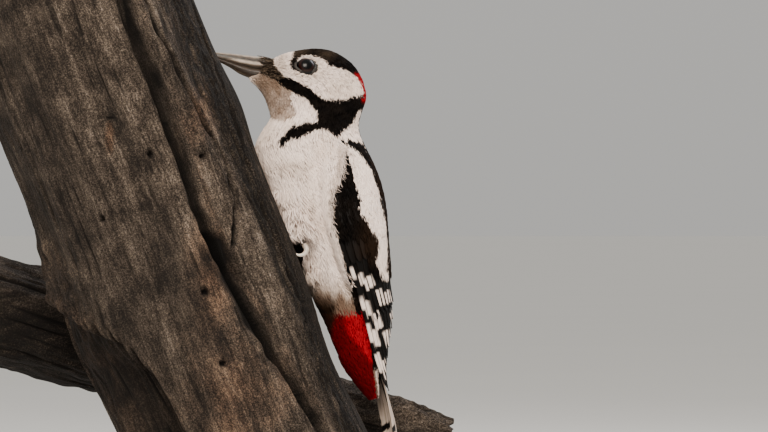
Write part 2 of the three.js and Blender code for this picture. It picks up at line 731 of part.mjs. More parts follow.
const FINISH = {
  blackFeather: [0x14110f, 0.75, 0],
  whiteFeather: [0xd8ccc4, 0.85, 0],
  redFeather: [0x9c1018, 0.85, 0],
  horn: [BILL_COLOUR, 0.45, 0],
  claw: [0xc8b8a8, 0.4, 0],
  scale: [0x4b463f, 0.6, 0],
  eye: [0x0c0806, 0.08, 0],
  bark: [0x6b5a4c, 0.9, 0],
  standWood: [0x2c2622, 0.5, 0],
  steel: [0xb8b8b8, 0.3, 1],
};

const bird = new THREE.Group();

function addNode(name, solid, finish) {
  const { vertProperties, triVerts } = solid.getMesh();
  const geometry = new THREE.BufferGeometry();
  geometry.setAttribute('position', new THREE.Float32BufferAttribute(vertProperties, 3));
  geometry.setIndex(Array.from(triVerts));
  geometry.computeVertexNormals();
  const [color, roughness, metalness] = FINISH[finish];
  const mesh = new THREE.Mesh(geometry, new THREE.MeshStandardMaterial({ color, roughness, metalness }));
  mesh.name = name;
  bird.add(mesh);
}

const whole = bodySolid(0);
const lids = lidRim();
const eyeRoom = eyeball(GAP);
const headRaw = keepSide(whole, HEAD_NECK_CUT, 1)
  .add(lids)
  .add(mirrored(lids))
  .subtract(eyeRoom)
  .subtract(mirrored(eyeRoom))
  .subtract(billRoom);
const neck = keepSide(keepSide(whole, HEAD_NECK_CUT, -1), NECK_TORSO_CUT, 1);
const trunk = trunkSolid(0);
const footRoom = footSolid(GAP);
const legRoom = legSolid(GAP);
const clawRoom = fuse(TOES.map((toe) => clawSolid(toe, GAP)));
const leftRoom = fuse([footRoom, legRoom, clawRoom]);
const torso = keepSide(keepSide(whole, NECK_TORSO_CUT, -1), TORSO_TAIL_CUT, 1)
  .subtract(trunkSolid(GAP + 0.1))
  .subtract(leftRoom)
  .subtract(mirrored(leftRoom));
const tail = tailSolid(keepSide(whole, TORSO_TAIL_CUT, -1));
const wing = wingSolid();
const perch = trunk.add(boughSolid()).subtract(billRoom).subtract(clawRoom).subtract(mirrored(clawRoom));
const leg = largest(legSolid(0).subtract(footRoom));
const foot = footSolid(0);

addNode('head', largest(headRaw), 'whiteFeather');
addNode('bill_upper', billUpper, 'horn');
addNode('bill_lower', billLower, 'horn');
addNode('eye_left', eyeball(0), 'eye');
addNode('eye_right', mirrored(eyeball(0)), 'eye');
addNode('neck', largest(neck), 'whiteFeather');
addNode('torso', largest(torso), 'whiteFeather');
addNode('tail', tail, 'redFeather');
addNode('wing_left', wing, 'blackFeather');
addNode('wing_right', mirrored(wing), 'blackFeather');
addNode('leg_left', leg, 'whiteFeather');
addNode('leg_right', mirrored(leg), 'whiteFeather');
addNode('foot_left', foot, 'scale');
addNode('foot_right', mirrored(foot), 'scale');
for (const toe of TOES) {
  const claw = clawSolid(toe, 0);
  addNode(`claw_left_${toe.name}`, claw, 'claw');
  addNode(`claw_right_${toe.name}`, mirrored(claw), 'claw');
}
addNode('perch_trunk', largest(perch), 'bark');
addNode('stand_base', standBase(), 'standWood');
ROD_SPAN.forEach((x, i) => addNode(`stand_rod_${i + 1}`, standRod(x), 'steel'));

// The model's origin: the middle of its box, on the floor.
const box = new THREE.Box3().setFromObject(bird);
const middle = box.getCenter(vec(0, 0, 0));
bird.position.set(-middle.x, -middle.y, -box.min.z);

export default bird;
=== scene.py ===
"""A great spotted woodpecker, life size, clinging to a cut length of weathered trunk on a display stand.

Places are worked out in the bird frame, in millimetres: X away from the trunk, Y away from the bird's left
side, Z up. `to_row` puts them in the row frame, in metres. On the bird itself a place is a station, which
counts from the bill's root to the end of the undertail coverts, and an angle round the body from the back
line towards the left side.
"""

import logging
import math
from dataclasses import dataclass, field
from enum import Enum
from typing import Any, Callable, Sequence

import bpy
import numpy as np
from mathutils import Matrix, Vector


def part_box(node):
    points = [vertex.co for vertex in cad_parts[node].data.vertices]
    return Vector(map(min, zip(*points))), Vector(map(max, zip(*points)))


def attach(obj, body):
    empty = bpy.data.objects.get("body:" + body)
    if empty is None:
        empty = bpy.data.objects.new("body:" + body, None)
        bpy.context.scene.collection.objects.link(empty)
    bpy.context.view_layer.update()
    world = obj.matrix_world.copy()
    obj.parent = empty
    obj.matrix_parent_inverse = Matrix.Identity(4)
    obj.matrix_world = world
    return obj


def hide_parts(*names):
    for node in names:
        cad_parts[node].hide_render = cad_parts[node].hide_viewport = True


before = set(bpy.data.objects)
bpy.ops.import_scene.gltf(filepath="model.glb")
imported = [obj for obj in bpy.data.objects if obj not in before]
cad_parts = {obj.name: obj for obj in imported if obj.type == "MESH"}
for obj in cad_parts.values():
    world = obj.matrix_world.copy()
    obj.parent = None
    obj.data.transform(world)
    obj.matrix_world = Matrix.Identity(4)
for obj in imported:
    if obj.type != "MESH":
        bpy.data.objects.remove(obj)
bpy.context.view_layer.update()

Array = np.ndarray
Rng = np.random.Generator
Surface = Callable[[Array, Array, Array], Array]

MM = 0.001
LATTICE_ROWS = 256  # rows of draws before a noise repeats lengthwise
BODY = "root"
BASE_LOW_CORNER = np.array([-136.0, -62.0, -54.0])  # the stand base's lowest corner, bird frame
ROW_OFFSET = np.array(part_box("stand_base")[0]) - BASE_LOW_CORNER * MM

log = logging.getLogger("woodpecker")


# --- arrays and curves ---


def to_row(points: Array) -> Array:
    """Bird frame millimetres as row frame metres: scaled, then moved by one offset."""
    return np.asarray(points, float) * MM + ROW_OFFSET


def smooth(value: Array) -> Array:
    """The soft step 3v^2 - 2v^3 of a value held between 0 and 1."""
    v = np.clip(value, 0.0, 1.0)
    return v * v * (3.0 - 2.0 * v)


def step(value: Array, low: float, high: float) -> Array:
    """A soft step from 0 at low to 1 at high."""
    return smooth((np.asarray(value, float) - low) / (high - low))


def bell(value: Array, width: float, power: int = 2) -> Array:
    """1 at nought, falling off as e to the power of -(value / width)^power; a higher power has a flatter top."""
    return np.exp(-((value / width) ** power))


def read(rows: Sequence[tuple[float, float]], places: Array) -> Array:
    """Values read between rows of place and value."""
    return np.interp(places, *np.transpose(rows))


def mix(first: Array, second: Array, share: Array) -> Array:
    """The straight blend from first to second."""
    return first + (second - first) * share


def blend(first: Array, second: Array, share: Array) -> Array:
    """The same for colours or points, with one share for each of them."""
    return mix(first, second, np.asarray(share)[..., None])


def half_turn(angle: Array) -> Array:
    """Degrees brought between -180 and 180."""
    return np.mod(angle + 180.0, 360.0) - 180.0


def unit(vectors: Array) -> Array:
    """Vectors of length one along the last axis."""
    return vectors / np.maximum(np.linalg.norm(vectors, axis=-1, keepdims=True), 1e-12)


def catmull_rom(points: Array, places: Array) -> Array:
    """A smooth curve through points, read at places counted in points.

    Between two points it is the cubic whose end slopes are half the step between their neighbours. Past
    each end of the row one more point is set by reflection.

    Args:
        points: the row of points, one per line.
        places: where to read, from 0 to the number of points less one, in any shape.

    Returns:
        One point for each place.
    """
    points = np.asarray(points, float)
    padded = np.vstack([2 * points[0] - points[1], points, 2 * points[-1] - points[-2]])
    u = np.clip(np.asarray(places, float), 0.0, len(points) - 1.0)
    i = np.minimum(u.astype(int), len(points) - 2)
    t = (u - i)[..., None]
    p0, p1, p2, p3 = (padded[i + k] for k in range(4))
    return 0.5 * (2 * p1 + (p2 - p0) * t + (2 * p0 - 5 * p1 + 4 * p2 - p3) * t**2 + (3 * p1 - p0 - 3 * p2 + p3) * t**3)


def noise(x: Array, y: Array, seed: int, period: int = 256) -> Array:
    """Smooth random values from 0 to 1: seeded draws on a lattice, blended softly between its corners.

    Args:
        x: place across, which repeats after period.
        y: place along.
        seed: which draws.
        period: lattice columns before the pattern repeats.
    """
    table = np.random.default_rng(seed).random((period, LATTICE_ROWS))
    x, y = np.broadcast_arrays(np.asarray(x, float), np.asarray(y, float))
    i, j = np.floor(x).astype(int), np.floor(y).astype(int)
    u, v = smooth(x - i), smooth(y - j)
    left, right, low, high = i % period, (i + 1) % period, j % LATTICE_ROWS, (j + 1) % LATTICE_ROWS
    near = mix(table[left, low], table[right, low], u)
    far = mix(table[left, high], table[right, high], u)
    return mix(near, far, v)


def inside(x: Array, z: Array, outline: Array) -> Array:
    """Whether each point lies inside an outline: a ray from it crosses the outline an odd number of times."""
    found = np.zeros(np.shape(x), bool)
    for (x1, z1), (x2, z2) in zip(outline, np.roll(outline, -1, axis=0)):
        if z1 != z2:
            crosses = (z1 > z) != (z2 > z)
            found ^= crosses & (x < (x2 - x1) * (z - z1) / (z2 - z1) + x1)
    return found


# --- colours ---


def linear(colour: str) -> tuple[float, float, float, float]:
    """An sRGB hex colour as linear red, green, blue and alpha."""
    values = [int(colour[i : i + 2], 16) / 255 for i in (1, 3, 5)]
    return (*[v / 12.92 if v <= 0.04045 else ((v + 0.055) / 1.055) ** 2.4 for v in values], 1.0)


class Tint(Enum):
    """The plumage's colours."""

    WHITE = "#f8e7de"
    CREAM = "#e2cfc2"
    BUFF = "#a08e7d"
    BROWN = "#6b5241"
    EARTH = "#22170f"
    BLACK = "#060505"
    SOOT = "#1c1612"
    RED = "#a0081a"
    DEEP_RED = "#5a050b"

    @property
    def rgb(self) -> Array:
        """The colour as linear red, green and blue."""
        return np.array(linear(self.value)[:3])


# --- shapes ---


@dataclass
class Shape:
    """A mesh in bird frame millimetres, with what its material reads at each point.

    colours is the attribute Plumage, patches the UV map OFBake and barbs the UV map Barbs.
    """

    points: Array
    quads: Array
    triangles: Array
    colours: Array | None = None
    patches: Array | None = None
    barbs: Array | None = None
    marks: dict[str, Array] = field(default_factory=dict)

    def mirrored(self, trunk: "TrunkForm") -> "Shape":
        """The same shape on the bird's other side, its faces turned so that they still look outwards."""
        return Shape(trunk.mirror(self.points), self.quads[:, ::-1], self.triangles[:, ::-1], self.colours,
            self.patches, self.barbs, self.marks)


def joined(shapes: Sequence[Shape]) -> Shape:
    """Several shapes as one, with every map that the first one has."""
    starts = np.cumsum([0] + [len(s.points) for s in shapes[:-1]])

    def stack(name: str) -> Array | None:
        """One map of all shapes in one row."""
        first = getattr(shapes[0], name)
        return None if first is None else np.concatenate([getattr(s, name) for s in shapes])

    return Shape(np.concatenate([s.points for s in shapes]),
        np.concatenate([s.quads + start for s, start in zip(shapes, starts)]),
        np.concatenate([s.triangles + start for s, start in zip(shapes, starts)]), stack("colours"), stack("patches"),
        stack("barbs"), {key: np.concatenate([s.marks[key] for s in shapes]) for key in shapes[0].marks})


def closed_skins(rings: Array, start: Array, end: Array) -> tuple[Array, Array, Array]:
    """Closed skins over rows of rings, each shut by a fan to a pole at either end, facing outwards.

    A skin is turned where the sum of its triangles' signed volumes is below zero.

    Args:
        rings: points of shape (skins, rings, sides, 3).
        start: the pole before the first ring, (skins, 3).
        end: the pole after the last ring, (skins, 3).

    Returns:
        The points of all skins in one row, the quads and the triangles.
    """
    count, rows, sides, _ = rings.shape
    points = np.concatenate([rings.reshape(count, -1, 3), start[:, None], end[:, None]], axis=1)
    r, k = (a.ravel() for a in np.meshgrid(np.arange(rows - 1), np.arange(sides), indexing="ij"))
    here, beside = r * sides + k, r * sides + (k + 1) % sides
    quads = np.stack([here, beside, beside + sides, here + sides], axis=1)
    k = np.arange(sides)
    after = (k + 1) % sides
    low, high, last = rows * sides, rows * sides + 1, (rows - 1) * sides
    triangles = np.concatenate([np.stack([np.full(sides, low), after, k], axis=1),
        np.stack([np.full(sides, high), last + k, last + after], axis=1)])
    split = np.concatenate([quads[:, [0, 1, 2]], quads[:, [0, 2, 3]], triangles])
    local = points - points.mean(axis=1, keepdims=True)
    a, b, c = (local[:, split[:, i]] for i in range(3))
    turned = np.einsum("nfi,nfi->n", a, np.cross(b, c)) < 0
    offsets = np.arange(count)[:, None, None] * points.shape[1]
    all_quads = np.where(turned[:, None, None], quads[:, ::-1], quads) + offsets
    all_triangles = np.where(turned[:, None, None], triangles[:, ::-1], triangles) + offsets
    return points.reshape(-1, 3), all_quads.reshape(-1, 4), all_triangles.reshape(-1, 3)


def solid(rings: Array, start: Array | None = None, end: Array | None = None) -> Shape:
    """One closed skin over rings, (rings, sides, 3), with its poles in the middle of the end rings unless given."""
    start = rings[0].mean(axis=0) if start is None else start
    end = rings[-1].mean(axis=0) if end is None else end
    return Shape(*closed_skins(rings[None], start[None], end[None]))


def with_poles(marks: dict[str, Array]) -> dict[str, Array]:
    """Marks of a closed skin's rings in one row, followed by those of its poles."""
    return {key: np.append(values, [values[0, 0], values[-1, 0]]) for key, values in marks.items()}


def tube(path: Array, radii: Array, sides: int, relief: Array | None = None) -> Shape:
    """A closed tube along a path: rings square to it, carried on without twist from one to the next.

    Args:
        path: centres of the rings, (rings, 3).
        radii: one radius for each ring.
        sides: points in a ring.
        relief: factors on the radius, (rings, sides).
    """
    forward = unit(np.gradient(path, axis=0))
    across = np.zeros_like(forward)
    guide = np.cross(forward[0], [0.3, 1.0, 0.2])
    for i, direction in enumerate(forward):
        guide = unit(guide - direction * (guide @ direction))
        across[i] = guide
    other = np.cross(forward, across)
    angles = np.arange(sides) * 2 * math.pi / sides
    sizes = radii[:, None, None]
    grow = np.ones((len(path), sides)) if relief is None else relief
    rings = (path[:, None] + across[:, None] * (sizes * np.cos(angles)[None, :, None]) * grow[..., None]
        + other[:, None] * (sizes * np.sin(angles)[None, :, None]) * grow[..., None])
    return solid(rings, path[0] - forward[0] * radii[0] * 0.3, path[-1] + forward[-1] * radii[-1] * 0.3)


def add_piece(name: str, shape: Shape, finish: "Finish", slot: str, *nodes: str) -> None:
    """Puts a shape in the scene as a piece that rides on the body.

    Args:
        name: the piece's name.
        shape: its mesh, in bird frame millimetres.
        finish: what it is made of.
        slot: the record's material slot; not used.
        nodes: the CAD nodes that it stands for.
    """
    mesh = bpy.data.meshes.new(name)
    corners = np.concatenate([shape.quads.ravel(), shape.triangles.ravel()]).astype(np.int32)
    starts = np.concatenate([np.arange(len(shape.quads)) * 4, shape.quads.size + np.arange(len(shape.triangles)) * 3])
    mesh.vertices.add(len(shape.points))
    mesh.vertices.foreach_set("co", to_row(shape.points).astype(np.float32).ravel())
    mesh.loops.add(len(corners))
    mesh.loops.foreach_set("vertex_index", corners)
    mesh.polygons.add(len(starts))
    mesh.polygons.foreach_set("loop_start", starts.astype(np.int32))
    mesh.polygons.foreach_set("use_smooth", np.ones(len(starts), bool))
    for map_name, values in (("OFBake", shape.patches), ("Barbs", shape.barbs)):
        if values is not None:
            layer = mesh.uv_layers.new(name=map_name)
            layer.data.foreach_set("uv", values[corners].astype(np.float32).ravel())
    if shape.colours is not None:
        layer = mesh.color_attributes.new(name="Plumage", type="FLOAT_COLOR", domain="POINT")
        opaque = np.concatenate([shape.colours, np.ones((len(shape.colours), 1))], axis=1)
        layer.data.foreach_set("color", opaque.astype(np.float32).ravel())
    for mark, values in shape.marks.items():
        layer = mesh.attributes.new(name=mark, type="FLOAT", domain="POINT")
        layer.data.foreach_set("value", np.asarray(values, np.float32))
    mesh.update(calc_edges=True)
    mesh.materials.append(finish.material())
    piece = bpy.data.objects.new(name, mesh)
    bpy.context.scene.collection.objects.link(piece)
    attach(piece, BODY)
    if nodes:
        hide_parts(*nodes)
    log.info("%s: %d triangles", name, 2 * len(shape.quads) + len(shape.triangles))


def add_pair(name: str, shape: Shape, trunk: "TrunkForm", finish: "Finish", slot: str, *nodes: str) -> None:
    """Adds a shape of the bird's left side as a piece, and its mirror image; a * in a name is the side."""
    for side, one in (("left", shape), ("right", shape.mirrored(trunk))):
        add_piece(name.replace("*", side), one, finish, slot, *(node.replace("*", side) for node in nodes))


# --- forms ---


@dataclass(frozen=True)
class TrunkForm:
    """The leaning trunk, and the plane through its axis in which the bird sits. Millimetres, degrees."""

    lean: float = math.radians(22.05)
    turn: float = math.radians(17.0)
    radius: float = 51.0
    foot_x: float = -23.7
    bottom: float = -26.0
    top: float = 200.0
    fissure_depth: float = 11.0
    fissure_half: float = 3.4
    bird_angle: float = 12.0

    @property
    def along(self) -> Array:
        """The trunk's axis, upwards."""
        return np.array([-math.sin(self.lean), 0.0, math.cos(self.lean)])

    @property
    def outward(self) -> Array:
        """From the axis to the trunk's +X side."""
        return np.array([math.cos(self.lean), 0.0, math.sin(self.lean)])

    @property
    def bird_left(self) -> Array:
        """Towards the bird's left side, square to its middle plane."""
        return self.outward * math.sin(self.turn) + np.array([0.0, -math.cos(self.turn), 0.0])

    @property
    def foot(self) -> Array:
        """A point on the trunk's axis."""
        return np.array([self.foot_x, 0.0, 0.0])

    def in_plane(self, x: Array, z: Array) -> Array:
        """The points of the bird's middle plane that have this X and Z."""
        x, z = np.broadcast_arrays(np.asarray(x, float), np.asarray(z, float))
        reach = (x - self.foot_x) * self.outward[0] + z * self.outward[2]
        return np.stack([x, reach * math.tan(self.turn), z], axis=-1)

    def side(self, points: Array) -> Array:
        """How far points lie to the bird's left of its middle plane."""
        return (np.asarray(points, float) - self.foot) @ self.bird_left

    def mirror(self, points: Array) -> Array:
        """The same points on the bird's other side."""
        return points - 2 * self.side(points)[..., None] * self.bird_left

    def fissure_angle(self, z: Array) -> Array:
        """Where the long fissure runs, in degrees round the trunk from its +X side."""
        return -67.0 + 20.0 * np.clip(1.0 - np.asarray(z, float) / 90.0, 0.0, 1.3)

    def ridge_angle(self, z: Array) -> Array:
        """Where the ridge beside the broken hollow stands."""
        return -114.4 - 0.33 * np.clip(z, -10.0, 36.0)

    def radius_at(self, angle: Array, z: Array) -> Array:
        """The radius at an angle and height.

        Worn lobes are sums of sines. Troughs and swellings are bells across and along the trunk: the fissure,
        the cavity broken out of its lip, and the burl where the bough joins. The hollow is a soft step beside
        the ridge. The wood is calm where the bird clings.
        """
        a = np.radians(angle)
        from_bird = np.abs(half_turn(angle - self.bird_angle))
        rough = step(from_bird, 25.0, 70.0)
        lobes = (1.7 * np.sin(3 * a + 0.8 + z / 60) + 1.1 * np.sin(7 * a - z / 45) + 0.7 * np.sin(11 * a + z / 30))
        side = bell(from_bird, 45.0)
        bulge = 2.2 * bell(z - 148, 16) - 3.4 * bell(z - 34, 24)
        off = half_turn(angle - self.fissure_angle(z))
        cavity = 5.0 * np.exp(-(((off - 5.5) / 4) ** 2) - ((z - 72) / 9) ** 2)
        burl = 10.0 * np.exp(-((half_turn(angle + 168) / 24) ** 2) - ((z - 42) / 36) ** 2)
        past = -half_turn(angle - self.ridge_angle(z))
        hollow = 4.5 * step(42.0 - z, 0, 14) * step(past, 0, 3.5) * (1 - step(past, 10, 34))
        fissure = self.fissure_depth * bell(off, self.fissure_half, 4)
        return self.radius + rough * lobes + side * bulge - fissure - cavity + burl - hollow

    def from_polar(self, angle: Array, z: Array, radius: Array) -> Array:
        """Points at an angle, height and distance from the axis, in level slices stretched by the lean."""
        a = np.radians(angle)
        x = self.foot_x - z * math.tan(self.lean) + radius * np.cos(a) / math.cos(self.lean)
        return np.stack(np.broadcast_arrays(x, radius * np.sin(a), z), axis=-1)

    def point(self, angle: Array, z: Array, lift: Array = 0.0) -> Array:
        """Points on the trunk, or lifted off it."""
        angle, z = np.asarray(angle, float), np.asarray(z, float)
        return self.from_polar(angle, z, self.radius_at(angle, z) + lift)

    def push_out(self, points: Array, clearance: float = 0.3) -> Array:
        """Points moved straight out from the axis where they would lie in the wood."""
        shape = points.shape
        flat = points.reshape(-1, 3)
        axis_x = self.foot_x - flat[:, 2] * math.tan(self.lean)
        dx, dy = (flat[:, 0] - axis_x) * math.cos(self.lean), flat[:, 1]
        distance = np.maximum(np.hypot(dx, dy), 1e-6)
        needed = self.radius_at(np.degrees(np.arctan2(dy, dx)), flat[:, 2]) + clearance
        grow = np.maximum(1.0, needed / distance)
        moved = np.stack([axis_x + dx * grow / math.cos(self.lean), dy * grow, flat[:, 2]], axis=-1)
        return moved.reshape(shape)


# Body stations: X and Z of the back line, X and Z of the front line, half width.
STATIONS = np.array([[-12.0, 168.1, -23.6, 158.7, 3.4], [-7.6, 170.2, -20.6, 156.4, 5.9],
    [-2.9, 171.5, -17.6, 153.4, 8.9], [2.2, 172.4, -15.6, 150.2, 11.2], [8.0, 172.7, -14.4, 147.2, 12.5],
    [13.8, 171.7, -13.7, 145.0, 13.1], [19.5, 168.8, -13.3, 143.3, 13.3], [24.2, 164.8, -13.1, 142.2, 13.3],
    [27.2, 160.0, -13.2, 141.3, 13.2], [29.0, 154.6, -13.6, 140.2, 13.2], [29.4, 150.0, -14.4, 138.9, 13.4],
    [27.9, 145.4, -15.9, 136.8, 13.9], [26.4, 140.4, -17.6, 133.9, 15.0], [26.0, 135.8, -19.3, 130.5, 16.8],
    [27.4, 131.4, -20.0, 126.4, 18.6], [30.4, 125.0, -18.6, 120.0, 20.2], [33.4, 118.0, -15.6, 112.2, 21.4],
    [36.4, 108.0, -11.6, 101.8, 21.9], [37.4, 98.0, -7.2, 91.8, 21.6], [37.1, 88.0, -2.6, 82.4, 20.6],
    [36.8, 76.0, 1.8, 72.0, 18.8], [36.6, 65.0, 5.6, 61.8, 16.6], [36.4, 54.5, 10.2, 52.8, 13.8],
    [36.0, 45.8, 13.7, 44.6, 11.4], [35.4, 37.4, 17.0, 36.4, 9.4], [34.8, 29.0, 21.3, 28.2, 7.4],
    [35.0, 21.0, 27.4, 20.0, 4.8], [34.8, 15.4, 31.8, 14.8, 1.9]])

# Along the folded wing, from station 14: reach to the back, reach to the side, leading edge's angle.
WING_STATIONS = np.array([[24.2, 19.4, 80.0], [25.2, 22.2, 88.0], [25.4, 24.4, 96.0], [25.0, 25.5, 105.0],
    [23.8, 25.4, 110.0], [22.2, 24.6, 110.0], [20.9, 22.8, 107.0], [19.9, 20.4, 98.0], [19.1, 17.6, 92.0],
    [18.0, 15.4, 86.0], [16.6, 13.8, 80.0], [14.6, 12.0, 72.0], [11.6, 9.8, 62.0], [9.2, 7.6, 36.0]])
FIRST_WING_STATION = 14
LAST_STATION = len(STATIONS) - 1
WING_BACK_EDGE = 12.0  # angle from the back line to the folded wing's inner edge


@dataclass(frozen=True)
class BirdForm:
    """The bird's outer form: ovals across a smooth row of stations, and the folded wing's face over them."""

    trunk: TrunkForm

    def section(self, station: Array) -> tuple[Array, Array, Array, Array]:
        """Centre, back direction, depth and half width of the oval at a station.

        The oval keeps the reach of the back and front lines as seen along Y, although its own plane is
        turned about the trunk.
        """
        rows = catmull_rom(STATIONS, station)
        back, front, half = rows[..., 0:2], rows[..., 2:4], rows[..., 4]
        t = self.trunk
        dorsal = unit(t.in_plane(back[..., 0], back[..., 1]) - t.in_plane(front[..., 0], front[..., 1]))
        reach = np.linalg.norm(back - front, axis=-1) / 2
        flat = np.maximum(reach**2 - (half * math.sin(t.turn)) ** 2, 1.0)
        middle = (back + front) / 2
        return t.in_plane(middle[..., 0], middle[..., 1]), dorsal, np.sqrt(flat) / math.cos(t.turn), half

    def body(self, station: Array, angle: Array, lift: Array) -> Array:
        """Points of the body: centre + (depth + lift) cos a towards the back + (half + lift) sin a to the left."""
        centre, dorsal, depth, half = self.section(station)
        a = np.radians(angle)
        along_back = ((depth + lift) * np.cos(a))[..., None]
        return centre + dorsal * along_back + self.trunk.bird_left * ((half + lift) * np.sin(a))[..., None]

    def wing(self, station: Array, share: Array, lift: Array) -> Array:
        """Points of the folded left wing's face; share runs from 0 at the leading edge to 1 at the inner."""
        centre, dorsal, _, _ = self.section(station)
        rows = catmull_rom(WING_STATIONS, np.asarray(station, float) - FIRST_WING_STATION)
        a = np.radians(mix(rows[..., 2], WING_BACK_EDGE, share))
        along_back = ((rows[..., 0] + lift) * np.cos(a))[..., None]
        return centre + dorsal * along_back + self.trunk.bird_left * ((rows[..., 1] + lift) * np.sin(a))[..., None]

    def leading_angle(self, station: Array) -> Array:
        """The angle of the folded wing's leading edge."""
        return catmull_rom(WING_STATIONS, np.asarray(station, float) - FIRST_WING_STATION)[..., 2]


def normal_of(surface: Surface, p: Array, q: Array, lift: Array) -> Array:
    """The outward normal of a surface: the cross product of its two tangents, on the side that lift leads to."""
    here, near = surface(p, q, lift), 0.02
    normal = unit(np.cross(surface(p + near, q, lift) - here, surface(p, q + near, lift) - here))
    outward = surface(p, q, lift + 0.5) - here
    return normal * np.sign(np.sum(normal * outward, axis=-1, keepdims=True) + 1e-12)


# --- finishes ---


def add_node(tree: bpy.types.NodeTree, name: str, kind: str, inputs: dict[str | int, Any] | None = None,
        stops: Sequence[tuple[float, str]] = (), **settings: Any) -> None:
    """Adds a node to a tree, under a name by which later nodes link to it.

    Args:
        tree: the node tree.
        name: the node's name.
        kind: its type's name, without the ShaderNode that starts it.
        inputs: by the input's name or number, a value, a hex colour, or "node.output" as a link.
        stops: a colour ramp's places from 0 to 1, and hex colours.
        settings: the node's own properties.
    """
    node = tree.nodes.new("ShaderNode" + kind)
    node.name = name
    for setting, value in settings.items():
        setattr(node, setting, value)
    for i, (place, colour) in enumerate(stops):
        stop = node.color_ramp.elements[i] if i < 2 else node.color_ramp.elements.new(place)
        stop.position, stop.color = place, linear(colour)
    for key, value in (inputs or {}).items():
        if not isinstance(value, str):
            node.inputs[key].default_value = value
        elif value.startswith("#"):
            node.inputs[key].default_value = linear(value)
        else:
            source, output = value.split(".")
            outputs = tree.nodes[source].outputs
            tree.links.new(outputs[int(output) if output.isdigit() else output], node.inputs[key])


MIX_A, MIX_B = 6, 7  # the colour inputs of a Mix node, whose colour output is number 2


@dataclass(frozen=True)
class Finish:
    """What a piece is made of. Each kind fills in its own node tree, once for each name."""

    name: str

    def material(self) -> bpy.types.Material:
        """The material, made at its first use."""
        found = bpy.data.materials.get(self.name)
        if found is None:
            found = bpy.data.materials.new(self.name)
            found.use_nodes = True
            found.node_tree.nodes.clear()
            self.dress(found.node_tree)
            add_node(found.node_tree, "output", "OutputMaterial", {"Surface": "shader.0"})
        return found

    def dress(self, tree: bpy.types.NodeTree) -> None:
        """Adds the nodes; the last one, named shader, is the surface."""
        raise NotImplementedError


@dataclass(frozen=True)
class Feather(Finish):
    """Feather keratin, grown as barbs: matte, hardly shining. The eye sees soft streaks along the barbs.

    The colour is the piece's own attribute, varied a little over 1 to 3 mm. On a vane the barbs slant from
    the shaft; they are drawn 0.45 mm apart, coarser than the real 0.1 mm, so that they show.
    """

    roughness: float = 0.66
    specular: float = 0.03
    barbed: bool = False
    barb_spacing: float = 0.45

    def dress(self, tree: bpy.types.NodeTree) -> None:
        """Attribute colour times a soft mottle, with slanted barb lines on a vane."""
        add_node(tree, "colour", "Attribute", attribute_name="Plumage")
        add_node(tree, "place", "TexCoord")
        add_node(tree, "mottle", "TexNoise", {"Vector": "place.Object", "Scale": 420.0, "Detail": 3.0})
        add_node(tree, "level", "MapRange", {"Value": "mottle.0", "To Min": 0.84, "To Max": 1.1})
        shade, relief = "level.0", {"Height": "mottle.0", "Strength": 0.1, "Distance": 0.0002}
        if self.barbed:
            turns = 2 * math.pi / self.barb_spacing
            add_node(tree, "web", "UVMap", uv_map="Barbs")
            add_node(tree, "apart", "SeparateXYZ", {0: "web.0"})
            add_node(tree, "off_shaft", "Math", {0: "apart.0"}, operation="ABSOLUTE")
            add_node(tree, "slant", "Math", {0: "off_shaft.0", 1: -1.6, 2: "apart.1"}, operation="MULTIPLY_ADD")
            add_node(tree, "turns", "Math", {0: "slant.0", 1: turns}, operation="MULTIPLY")
            add_node(tree, "line", "Math", {0: "turns.0"}, operation="SINE")
            add_node(tree, "streak", "MapRange", {"Value": "line.0", "From Min": -1.0, "To Min": 0.86, "To Max": 1.06})
            add_node(tree, "both", "Math", {0: shade, 1: "streak.0"}, operation="MULTIPLY")
            shade, relief = "both.0", {"Height": "line.0", "Strength": 0.25, "Distance": 0.0001}
        add_node(tree, "tinted", "VectorMath", {0: "colour.Color", 1: shade}, operation="MULTIPLY")
        add_node(tree, "lit", "Bump", relief)
        add_node(tree, "shader", "BsdfPrincipled",
            {"Base Color": "tinted.0", "Roughness": self.roughness, "Specular IOR Level": self.specular,
            "Normal": "lit.0"})


CONTOUR = Feather("plumage_contour")
VANE = Feather("plumage_vane", roughness=0.5, specular=0.08, barbed=True)


@dataclass(frozen=True)
class Horn(Finish):
    """Horn, worn by use: satin, streaked lengthwise, paler where it is thin. Keratin, IOR about 1.55.

    The attribute Pale says where the worn pale parts lie; on the bill it also carries a painted highlight
    along the ridge and painted shade in the groove and the nostril. Streaks are 0.4 mm wide and ten times as long.
    """

    dark: str = "#1f1914"
    middle: str = "#5d5146"
    pale: str = "#b5a799"
    roughness: float = 0.42
    streak: float = 0.4

    def dress(self, tree: bpy.types.NodeTree) -> None:
        """A ramp from dark to pale over the attribute and a long noise."""
        stops = [(0.3, self.dark), (1.0, self.pale), (0.62, self.middle)]
        add_node(tree, "place", "TexCoord")
        add_node(tree, "long", "Mapping", {"Vector": "place.Object", "Scale": (0.12, 1.0, 1.0)})
        add_node(tree, "grain", "TexNoise", {"Vector": "long.0", "Scale": 1 / (self.streak * MM), "Detail": 4.0})
        add_node(tree, "pale", "Attribute", attribute_name="Pale")
        add_node(tree, "level", "Math", {0: "grain.0", 1: 0.75, 2: "pale.Fac"}, operation="MULTIPLY_ADD")
        add_node(tree, "worn", "ValToRGB", {0: "level.0"}, stops)
        add_node(tree, "bump", "Bump", {"Height": "grain.0", "Strength": 0.35, "Distance": 0.0002})
        add_node(tree, "shader", "BsdfPrincipled",
            {"Base Color": "worn.0", "Roughness": self.roughness, "IOR": 1.55, "Subsurface Weight": 0.08,
            "Subsurface Scale": 0.001, "Normal": "bump.0"})


